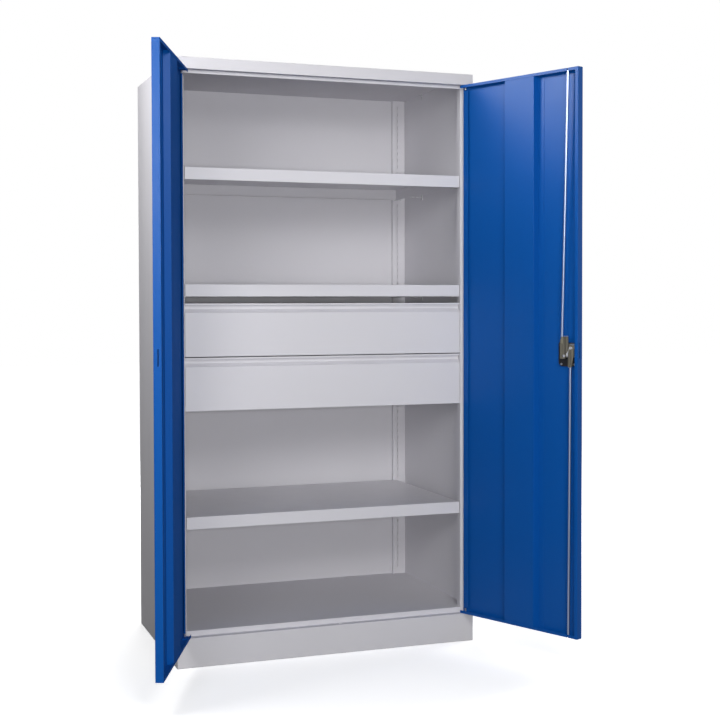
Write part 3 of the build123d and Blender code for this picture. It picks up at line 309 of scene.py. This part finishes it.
def set_bump(tree, bump, surface, strength, depth):
    link(tree, surface.outputs["Height"], bump.inputs["Height"])
    bump.inputs["Strength"].default_value = strength
    bump.inputs["Distance"].default_value = depth


def shade(colour, factor):
    return [min(1.0, c * factor) for c in colour] + [1.0]


def mix_colours(tree, factor, first, second):
    """A blend of two colours, each a value or another output."""
    made = tree.nodes.new("ShaderNodeMix")
    made.data_type = "RGBA"
    link(tree, factor, made.inputs["Factor"])
    feed(tree, first, made.inputs["A"])
    feed(tree, second, made.inputs["B"])
    return made.outputs["Result"]


def tinted(tree, factor, colour, tones):
    """A colour that changes between two tones of itself."""
    return mix_colours(tree, factor, *(shade(colour, tone) for tone in tones))


def painted(name, colour, roughness, gloss, slanting=0.0):
    """Satin powder coat in one colour, duller by the value slanting where it is seen edge on."""
    material, tree, shader, vector, bump = start_material(name)
    surface = use_group(tree, "powder_coat_surface", vector)
    surface.inputs["Grain"].default_value = 1.0 / bpy.context.scene.cabinet_finish.coat_grain
    link(tree, tinted(tree, surface.outputs["Tone"], colour, COAT_TONES),
         shader.inputs["Base Color"])
    marks = spread(tree, surface.outputs["Marks"], 0.0, 1.0,
                   roughness - COAT_MARKS, roughness + COAT_MARKS)
    edge = tree.nodes.new("ShaderNodeLayerWeight")
    edge.inputs["Blend"].default_value = 0.5
    dulled = spread(tree, edge.outputs["Facing"], *COAT_SLANT, 0.0, slanting)
    link(tree, math_node(tree, "ADD", marks, dulled), shader.inputs["Roughness"])
    set_bump(tree, bump, surface, *COAT_BUMP)
    shader.inputs["IOR"].default_value = RESIN_IOR
    shader.inputs["Specular IOR Level"].default_value = gloss
    return material


def plated(name, colour, roughness, depth, metal=1.0):
    """Bright plated metal."""
    material, tree, shader, vector, bump = start_material(name)
    surface = use_group(tree, "plated_metal_surface", vector)
    link(tree, tinted(tree, surface.outputs["Cloud"], colour, PLATE_TONES),
         shader.inputs["Base Color"])
    link(tree, spread(tree, surface.outputs["Streak"], 0.0, 1.0,
                      *(roughness * streak for streak in PLATE_STREAKS)),
         shader.inputs["Roughness"])
    set_bump(tree, bump, surface, PLATE_BUMP_STRENGTH, depth)
    shader.inputs["Metallic"].default_value = metal
    return material


def rod_plate(rod_colour, link_colour):
    """Bright rods whose flat links beside the lock are a duller zinc plate, with painted light and
    dark bands along them.
    """
    material, tree, shader, vector, bump = start_material("rod_plate")
    surface = use_group(tree, "plated_metal_surface", vector)
    height = tree.nodes.new("ShaderNodeSeparateXYZ")
    link(tree, vector, height.inputs["Vector"])
    above = math_node(tree, "SUBTRACT", height.outputs["Z"], LOCK_Z)
    away = math_node(tree, "ABSOLUTE", above)
    on_rod = spread(tree, away, LINK_REACH, LINK_REACH + LINK_FADE)
    # painted highlight and shade: light and dark bands along the links stand in for the light on
    # their bends
    painted_bands = use_group(tree, "plated_metal_surface", stretched(tree, vector, LINK_STRETCH))
    dull_and_painted_bands = tinted(tree, painted_bands.outputs["Streak"], link_colour, LINK_PAINTED_BAND_TONES)
    link(tree, mix_colours(tree, on_rod, dull_and_painted_bands, shade(rod_colour, 1.0)),
         shader.inputs["Base Color"])
    link(tree, spread(tree, on_rod, 0.0, 1.0, *LINK_AND_ROD_ROUGHNESS),
         shader.inputs["Roughness"])
    link(tree, spread(tree, on_rod, 0.0, 1.0, *LINK_AND_ROD_METAL), shader.inputs["Metallic"])
    set_bump(tree, bump, surface, *ROD_BUMP)
    return material


def moulded(name, colour, roughness):
    """Dark moulded plastic."""
    material, tree, shader, vector, bump = start_material(name)
    surface = use_group(tree, "moulded_grain", vector)
    link(tree, tinted(tree, surface.outputs["Polish"], colour, PLASTIC_TONES),
         shader.inputs["Base Color"])
    link(tree, spread(tree, surface.outputs["Polish"], 0.0, 1.0,
                      roughness + PLASTIC_POLISH, roughness - PLASTIC_POLISH),
         shader.inputs["Roughness"])
    set_bump(tree, bump, surface, *PLASTIC_BUMP)
    shader.inputs["IOR"].default_value = RESIN_IOR
    return material


def dress(names, material):
    """Gives CAD nodes a material on every slot that they have."""
    for name in names:
        node = NODES[name]
        if not node.material_slots:
            node.data.materials.append(material)
        for slot in node.material_slots:
            slot.material = material


# One operator for each piece or group of like pieces

BODY_COAT = {"roughness": 0.36, "gloss": 0.08, "slanting": 0.6}
INNER_COAT = {"roughness": 0.30, "gloss": 0.4}
DOOR_COAT = {"roughness": 0.35, "gloss": 0.19, "slanting": 0.6}
ZINC_PLATE = {"roughness": 0.34, "depth": 0.00003, "metal": 0.9}
# painted glint: near white and half diffuse, so these small parts show pale under any lamp
CLEAR_ZINC_AND_GLINT_PLATE = {"roughness": 0.26, "depth": 0.00002, "metal": 0.55}
CYLINDER_PLATE = {"roughness": 0.22, "depth": 0.00002}
PLASTIC_ROUGHNESS = 0.42


class CABINET_OT_body(bpy.types.Operator):
    """Paints the panels and uprights of the body"""

    bl_idname = "cabinet.body"
    bl_label = "Body"

    def execute(self, context):
        colour = context.scene.cabinet_finish.body_colour
        dress(PANEL_NODES, painted("body_paint", colour, **BODY_COAT))
        return {"FINISHED"}


class CABINET_OT_shelves(bpy.types.Operator):
    """Paints the shelves"""

    bl_idname = "cabinet.shelves"
    bl_label = "Shelves"

    def execute(self, context):
        colour = context.scene.cabinet_finish.body_colour
        dress(SHELF_NODES, painted("shelf_paint", colour, **INNER_COAT))
        return {"FINISHED"}


class CABINET_OT_drawers(bpy.types.Operator):
    """Paints the drawers"""

    bl_idname = "cabinet.drawers"
    bl_label = "Drawers"

    def execute(self, context):
        colour = context.scene.cabinet_finish.body_colour
        dress(DRAWER_NODES, painted("drawer_paint", colour, **INNER_COAT))
        return {"FINISHED"}


class CABINET_OT_doors(bpy.types.Operator):
    """Paints the doors with their stiffeners and hinge plates"""

    bl_idname = "cabinet.doors"
    bl_label = "Doors"

    def execute(self, context):
        colour = context.scene.cabinet_finish.door_colour
        dress(DOOR_NODES, painted("door_paint", colour, **DOOR_COAT))
        return {"FINISHED"}


class CABINET_OT_fittings(bpy.types.Operator):
    """Plates the clips, runners, hinge parts and lock mechanism, with painted glints on the clips,
    cam and screw
    """

    bl_idname = "cabinet.fittings"
    bl_label = "Plated fittings"

    def execute(self, context):
        finish = context.scene.cabinet_finish
        dress(ZINC_NODES, plated("zinc_plate", finish.zinc_colour, **ZINC_PLATE))
        dress(CLEAR_ZINC_AND_GLINT_NODES, plated("clear_zinc_and_glint_plate", finish.clear_zinc_and_glint_colour, **CLEAR_ZINC_AND_GLINT_PLATE))
        dress(ROD_NODES, rod_plate(finish.rod_colour, finish.link_colour))
        dress(CYLINDER_NODES, plated("cylinder_plate", finish.cylinder_colour, **CYLINDER_PLATE))
        return {"FINISHED"}


# Moulded pieces of the lock, built about the lock's centre: X towards the door's free edge,
# Y into the cabinet from the door's outer face, Z up

HINGE_EDGE_X = 0.5005
DOOR_FACE_Y = -0.320
PIVOT = Vector((0.4925, -0.315, 0.0))       # a point on the right door's hinge line
DOOR_ANGLE = math.radians(113.48)           # how far the right door stands open at rest
LOCK_ACROSS = 0.4555            # from the hinge edge
LOCK_Z = 1.0115
ROUND_STEPS = 64
SAME_PLACE = 1e-6               # points nearer than this are one point
STRAIGHT = 0.99                 # how far a flat's normal lies along Y
SHARP_ANGLE = math.radians(35.0)
CASE = {"left": -0.0410, "right": 0.0285, "low": -0.0466, "high": 0.0295,
        "outer": 0.0012, "inner": 0.0120}
CASE_CORNERS = {"low": 0.0140, "high": 0.0040}
CASE_BORDER = 0.0003            # flat left round the filled inner face
BOWL_TURN = (1.6, 0.5)          # the bowl's corner turns in flats, as multiples of the rounding
BOWL_RADIUS = 0.0270
BOWL_DEPTH = 0.0090
NECK_RADIUS = 0.0297
NECK_INNER = 0.0022
NECK_WALL_GAP = 0.00002         # keeps the neck's inner wall off the bowl's wall
SPINDLE_HOLE = 0.00506
RAIL_LEFT = -0.0255
RAIL_HEIGHT = 0.0022
RAIL_LOWS = (0.02695, -0.01985)
RAIL_INNER = 0.0155
RAIL_SOFTNESS = 0.5             # as a share of the rounding
RING_PROUD = 0.0020
RING_FALL = ((1.7, 0.0), (0.6, 0.4), (0.0, 1.3))    # inwards and back, in roundings
CORNER_MIDDLE = 0.3             # where a soft corner's middle lies, as a share of the rounding
GRIP_LENGTH = 0.0500
GRIP_WIDTH = 0.0130
GRIP_PROUD = 0.0020
GRIP_INNER = 0.0087
GRIP_SOFTNESS = 1.1             # as a share of the rounding
HUB_RADIUS = 0.0105
HUB_STEP = 0.00015
BARREL_HOLE = 0.0070
BARREL_INNER = 0.0062
SPINDLE_RADIUS = 0.0050
SPINDLE_INNER = 0.0160
SCREW_HOLE = 0.0016


def on_right_door():
    """Lock coordinates to the frame, with the right door open as it stands at rest."""
    closed = Matrix.Translation((HINGE_EDGE_X - LOCK_ACROSS, DOOR_FACE_Y, LOCK_Z))
    mirror = Matrix.Scale(-1.0, 4, (1.0, 0.0, 0.0))
    turn = Matrix.Rotation(DOOR_ANGLE, 4, "Z")
    return Matrix.Translation(PIVOT) @ turn @ Matrix.Translation(-PIVOT) @ closed @ mirror


def lathe(mesh, profile):
    """Spins a chain of (radius, depth) points about the lock's axis."""
    points = [mesh.verts.new((radius, depth, 0.0)) for radius, depth in profile]
    chain = [mesh.edges.new(pair) for pair in zip(points, points[1:])]
    bmesh.ops.spin(mesh, geom=points + chain, cent=(0.0, 0.0, 0.0), axis=(0.0, 1.0, 0.0),
                   angle=2.0 * math.pi, steps=ROUND_STEPS, use_merge=True)


def bevel(mesh, edges, offset, segments):
    bmesh.ops.bevel(mesh, geom=list(edges), offset=offset, offset_type="OFFSET", affect="EDGES",
                    segments=segments, profile=0.5, material=-1)


def push(mesh, face, depth):
    """Extrudes a face along Y and returns the far face."""
    made = bmesh.ops.extrude_face_region(mesh, geom=[face], use_keep_orig=True)["geom"]
    corners = [item for item in made if isinstance(item, bmesh.types.BMVert)]
    bmesh.ops.translate(mesh, verts=corners, vec=(0.0, depth, 0.0))
    return next(item for item in made if isinstance(item, bmesh.types.BMFace))


def join_ring(mesh, face, radius):
    """Fills the flat between a face's rim and the lathed ring in it, in place of the face."""
    depth = face.calc_center_median().y
    ring = [edge for edge in mesh.edges
            if all(abs(math.hypot(vert.co.x, vert.co.z) - radius) < SAME_PLACE
                   and abs(vert.co.y - depth) < SAME_PLACE for vert in edge.verts)]
    rim = list(face.edges)
    bmesh.ops.delete(mesh, geom=[face], context="FACES_ONLY")
    bmesh.ops.triangle_fill(mesh, edges=rim + ring, use_beauty=True, normal=(0.0, 1.0, 0.0))


def ready(mesh, name, body, node, material):
    """Turns a finished mesh into a smooth piece that rides on a body in place of a node."""
    bmesh.ops.remove_doubles(mesh, verts=mesh.verts, dist=SAME_PLACE)
    bmesh.ops.transform(mesh, matrix=on_right_door(), verts=mesh.verts)
    bmesh.ops.recalc_face_normals(mesh, faces=mesh.faces)
    data = bpy.data.meshes.new(name)
    mesh.to_mesh(data)
    mesh.free()
    data.materials.append(material)
    data.shade_smooth()
    data.set_sharp_from_angle(angle=SHARP_ANGLE)
    piece = bpy.data.objects.new(name, data)
    bpy.context.scene.collection.objects.link(piece)
    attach(piece, body)
    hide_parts(node)


def slab(mesh, left, right, low, high, outer, inner):
    """A plain block: returns its inner face and its four edges along Y."""
    corners = [mesh.verts.new((x, outer, z))
               for x, z in ((left, low), (right, low), (right, high), (left, high))]
    face = mesh.faces.new(corners)
    far = push(mesh, face, inner - outer)
    sides = [edge for vert in corners for edge in vert.link_edges if edge not in face.edges]
    return far, sides


def flats(mesh):
    """The faces that lie square to Y, outermost first."""
    mesh.normal_update()
    return sorted((face for face in mesh.faces if abs(face.normal.y) > STRAIGHT),
                  key=lambda face: face.calc_center_median().y)


def case_mesh(edge_round):
    """Lock case: a rounded block with a bowl for the handle."""
    mesh = bmesh.new()
    sides = slab(mesh, **CASE)[1]
    for level, radius in CASE_CORNERS.items():
        picked = [edge for edge in sides if edge.is_valid
                  and (sum(v.co.z for v in edge.verts) < 0.0) == (level == "low")]
        bevel(mesh, picked, radius, segments=8)
    bevel(mesh, flats(mesh)[-1].edges, edge_round, segments=3)
    front, back = flats(mesh)
    bmesh.ops.inset_region(mesh, faces=[back], thickness=CASE_BORDER, use_even_offset=True)
    reach, middle = (edge_round * turn for turn in BOWL_TURN)
    lathe(mesh, [(BOWL_RADIUS, CASE["outer"]), (BOWL_RADIUS, BOWL_DEPTH - reach),
                 (BOWL_RADIUS - middle, BOWL_DEPTH - middle),
                 (BOWL_RADIUS - reach, BOWL_DEPTH),
                 (SPINDLE_HOLE, BOWL_DEPTH), (SPINDLE_HOLE, CASE["inner"])])
    join_ring(mesh, front, BOWL_RADIUS)
    join_ring(mesh, back, SPINDLE_HOLE)
    neck = BOWL_RADIUS + NECK_WALL_GAP
    lathe(mesh, [(neck, 0.0), (NECK_RADIUS, 0.0), (NECK_RADIUS, NECK_INNER), (neck, NECK_INNER),
                 (neck, 0.0)])
    return mesh


def rails(mesh, edge_round):
    """Guide rails above and below the latch."""
    for low in RAIL_LOWS:
        far = slab(mesh, RAIL_LEFT, CASE["right"] - CASE_CORNERS["high"],
                   low, low + RAIL_HEIGHT, CASE["inner"], RAIL_INNER)[0]
        bevel(mesh, far.edges, edge_round * RAIL_SOFTNESS, segments=2)


class CABINET_OT_lock(bpy.types.Operator):
    """Models the moulded lock case, handle ring and turn grip"""

    bl_idname = "cabinet.lock"
    bl_label = "Lock"

    def execute(self, context):
        finish = context.scene.cabinet_finish
        sizes = context.scene.cabinet_lock
        plastic = moulded("lock_plastic", finish.plastic_colour, PLASTIC_ROUGHNESS)
        self.case(sizes, plastic)
        self.ring(sizes, plastic)
        self.grip(sizes, plastic)
        return {"FINISHED"}

    def case(self, sizes, plastic):
        mesh = case_mesh(sizes.edge_round)
        rails(mesh, sizes.edge_round)
        ready(mesh, "moulded_case", "right_door", "lock_case", plastic)

    def ring(self, sizes, plastic):
        outer = sizes.ring_radius
        soft = sizes.edge_round
        middle = soft * CORNER_MIDDLE
        fall = [(outer - soft * inwards, soft * back - RING_PROUD) for inwards, back in RING_FALL]
        mesh = bmesh.new()
        lathe(mesh, [(BOWL_RADIUS, 0.0), (BOWL_RADIUS, soft - RING_PROUD),
                     (BOWL_RADIUS + middle, middle - RING_PROUD),
                     (BOWL_RADIUS + soft, -RING_PROUD), *fall, (outer, 0.0), (BOWL_RADIUS, 0.0)])
        ready(mesh, "moulded_ring", "right_door", "handle_escutcheon", plastic)

    def grip(self, sizes, plastic):
        soft = sizes.edge_round
        middle = soft * CORNER_MIDDLE
        mesh = bmesh.new()
        lie_flat = Matrix.Rotation(math.pi / 2, 4, "X")
        disc = bmesh.ops.create_circle(
            mesh, cap_ends=True, segments=ROUND_STEPS // 2, radius=GRIP_WIDTH / 2,
            matrix=Matrix.Translation((0.0, -GRIP_PROUD, 0.0)) @ lie_flat)
        reach = (GRIP_LENGTH - GRIP_WIDTH) / 2
        ends = {side: [vert for vert in disc["verts"] if vert.co.x * side > SAME_PLACE]
                for side in (-1, 1)}
        for side, verts in ends.items():
            bmesh.ops.translate(mesh, verts=verts, vec=(side * reach, 0.0, 0.0))
        push(mesh, next(iter(mesh.faces)), GRIP_PROUD + GRIP_INNER)
        top = min(mesh.faces, key=lambda item: item.calc_center_median().y)
        bevel(mesh, top.edges, soft * GRIP_SOFTNESS, segments=4)
        front = HUB_STEP - GRIP_PROUD
        lathe(mesh, [(BARREL_HOLE, BARREL_INNER), (BARREL_HOLE, front), (HUB_RADIUS - soft, front),
                     (HUB_RADIUS - middle, front + middle), (HUB_RADIUS, front + soft),
                     (HUB_RADIUS, GRIP_INNER), (SPINDLE_RADIUS, GRIP_INNER),
                     (SPINDLE_RADIUS, SPINDLE_INNER), (SCREW_HOLE, SPINDLE_INNER),
                     (SCREW_HOLE, BARREL_INNER), (BARREL_HOLE, BARREL_INNER)])
        ready(mesh, "moulded_grip", "handle", "handle_grip", plastic)


# Camera, lamps and floor

SENSOR_WIDTH = 36.0
CAMERA_SHIFT = -0.0321643       # the lens is shifted up or down by this share of the sensor
CAMERA_REACH = 100.0
LAMPS = (
    # name, place, target, size, power, spread in degrees, whether it shows in reflections
    ("lamp_side", (-1.75, -0.8, 2.45), (-0.35, -0.2, 1.2), 0.8, 8.0, 105.0, False),
    ("lamp_sheen", (-2.0, 0.0, 2.62), (0.45, -0.6, 1.98), 0.7, 5.2, 66.0, True),
    ("lamp_edge", (-2.4, -3.7, 2.05), (-0.67, -0.78, 1.5), 1.0, 5.0, 60.0, True),
    ("lamp_high", (-0.2, -4.2, 2.6), (0.1, -0.2, 1.2), 1.2, 48.0, 180.0, True),
    ("lamp_low", (-0.6, -4.4, 0.7), (0.1, -0.2, 1.0), 1.0, 26.0, 180.0, False),
    ("lamp_camera", (-1.36, -4.5, 1.17), (0.0, 0.0, 1.1), 0.2, 52.0, 180.0, False),
    ("lamp_back", (0.8, 4.7, 2.3), (0.0, 0.3, 1.0), 1.5, 120.0, 180.0, False),
    ("lamp_right", (4.6, 1.3, 2.2), (0.5, 0.0, 1.0), 1.4, 95.0, 180.0, False),
)
FLOOR_DROP = 0.0002             # below the cabinet's underside
FLOOR_BOUNCE = 0.22             # share of the floor's colour that lights the cabinet
FLOOR_MIRRORED = 0.25           # how bright the floor is in reflections
FLOOR_SHADOW_NEAR = 0.9         # the floor fades to white between these distances
FLOOR_SHADOW_FAR = 2.2
FLOOR_SHADOW_GLOW = 0.5
FLOOR_ROUGHNESS = 0.9
SOFT_LIGHT = 0.06
WHITE = (1.0, 1.0, 1.0, 1.0)


def lamp(name, place, target, size, power, spread_angle, mirrored):
    data = bpy.data.lights.new(name, "AREA")
    data.shape = "SQUARE"
    data.size = size
    data.energy = power
    data.spread = math.radians(spread_angle)
    made = bpy.data.objects.new(name, data)
    made.location = place
    made.visible_glossy = mirrored
    made.rotation_euler = (Vector(target) - Vector(place)).to_track_quat("-Z", "Y").to_euler()
    bpy.context.scene.collection.objects.link(made)


class CABINET_OT_stage(bpy.types.Operator):
    """Sets the camera, the lamps and the pale floor"""

    bl_idname = "cabinet.stage"
    bl_label = "Stage"

    def execute(self, context):
        scene = context.scene
        self.camera(scene, scene.cabinet_stage)
        for values in LAMPS:
            lamp(*values)
        self.floor(context, scene.cabinet_stage)
        self.world(scene)
        scene.view_settings.view_transform = "Standard"
        return {"FINISHED"}

    def camera(self, scene, stage):
        lens = bpy.data.cameras.new("camera")
        lens.lens = stage.lens
        lens.sensor_width = SENSOR_WIDTH
        lens.shift_y = CAMERA_SHIFT
        lens.clip_end = CAMERA_REACH
        camera = bpy.data.objects.new("camera", lens)
        camera.location = stage.camera_place
        camera.rotation_euler = stage.camera_turn
        scene.collection.objects.link(camera)
        scene.camera = camera

    def floor(self, context, stage):
        bpy.ops.mesh.primitive_plane_add(size=stage.floor_size)
        floor = context.active_object
        floor.name = "floor"
        floor.location.z = -FLOOR_DROP
        floor.data.materials.append(self.floor_material(stage.floor_colour))

    def floor_material(self, colour):
        """Pale to the camera, with a soft shadow round the cabinet; it sends back less light."""
        material, tree, shader, vector, _ = start_material("pale_floor")
        path = tree.nodes.new("ShaderNodeLightPath")
        seen = path.outputs["Is Camera Ray"]
        mirrored = math_node(tree, "MAXIMUM", path.outputs["Is Glossy Ray"],
                             path.outputs["Is Transmission Ray"])
        link(tree, tinted(tree, seen, colour, (FLOOR_BOUNCE, 1.0)), shader.inputs["Base Color"])
        away = tree.nodes.new("ShaderNodeVectorMath")
        away.operation = "LENGTH"
        link(tree, vector, away.inputs[0])
        glow = spread(tree, away.outputs["Value"], FLOOR_SHADOW_NEAR, FLOOR_SHADOW_FAR,
                      FLOOR_SHADOW_GLOW, 1.0)
        shown = math_node(tree, "MAXIMUM", math_node(tree, "MULTIPLY", seen, glow),
                          math_node(tree, "MULTIPLY", mirrored, FLOOR_MIRRORED))
        shader.inputs["Emission Color"].default_value = WHITE
        link(tree, shown, shader.inputs["Emission Strength"])
        shader.inputs["Roughness"].default_value = FLOOR_ROUGHNESS
        shader.inputs["Specular IOR Level"].default_value = 0.0
        return material

    def world(self, scene):
        """White to the camera and in reflections, and a softer even light on the cabinet."""
        world = bpy.data.worlds.new("studio")
        scene.world = world
        world.use_nodes = True
        tree = world.node_tree
        seen = tree.nodes["Background"]
        soft = tree.nodes.new("ShaderNodeBackground")
        for background, strength in ((seen, 1.0), (soft, SOFT_LIGHT)):
            background.inputs["Color"].default_value = WHITE
            background.inputs["Strength"].default_value = strength
        path = tree.nodes.new("ShaderNodeLightPath")
        both = tree.nodes.new("ShaderNodeMixShader")
        shown = math_node(tree, "MAXIMUM", path.outputs["Is Camera Ray"],
                          path.outputs["Is Glossy Ray"])
        link(tree, shown, both.inputs["Fac"])
        link(tree, soft.outputs["Background"], both.inputs[1])
        link(tree, seen.outputs["Background"], both.inputs[2])
        link(tree, both.outputs["Shader"], tree.nodes["World Output"].inputs["Surface"])


class CABINET_PT_panel(bpy.types.Panel):
    """Cabinet pieces, sizes and colours"""

    bl_label = "Cabinet"
    bl_idname = "CABINET_PT_panel"
    bl_space_type = "VIEW_3D"
    bl_region_type = "UI"
    bl_category = "Cabinet"

    def draw(self, context):
        layout = self.layout
        scene = context.scene
        for settings in (scene.cabinet_finish, scene.cabinet_lock, scene.cabinet_stage):
            column = layout.column(align=True)
            for name in settings.__annotations__:
                column.prop(settings, name)
        for operator in OPERATORS:
            layout.operator(operator.bl_idname)


OPERATORS = (
    CABINET_OT_body, CABINET_OT_shelves, CABINET_OT_drawers, CABINET_OT_doors,
    CABINET_OT_fittings, CABINET_OT_lock, CABINET_OT_stage,
)
CLASSES = (CabinetFinish, CabinetLock, CabinetStage) + OPERATORS + (CABINET_PT_panel,)


def register():
    for made in CLASSES:
        bpy.utils.register_class(made)
    bpy.types.Scene.cabinet_finish = bpy.props.PointerProperty(type=CabinetFinish)
    bpy.types.Scene.cabinet_lock = bpy.props.PointerProperty(type=CabinetLock)
    bpy.types.Scene.cabinet_stage = bpy.props.PointerProperty(type=CabinetStage)


def unregister():
    del bpy.types.Scene.cabinet_stage
    del bpy.types.Scene.cabinet_lock
    del bpy.types.Scene.cabinet_finish
    for made in reversed(CLASSES):
        bpy.utils.unregister_class(made)


def main():
    register()
    bpy.ops.cabinet.body()
    bpy.ops.cabinet.shelves()
    bpy.ops.cabinet.drawers()
    bpy.ops.cabinet.doors()
    bpy.ops.cabinet.fittings()
    bpy.ops.cabinet.lock()
    bpy.ops.cabinet.stage()


if __name__ == "__main__":
    main()
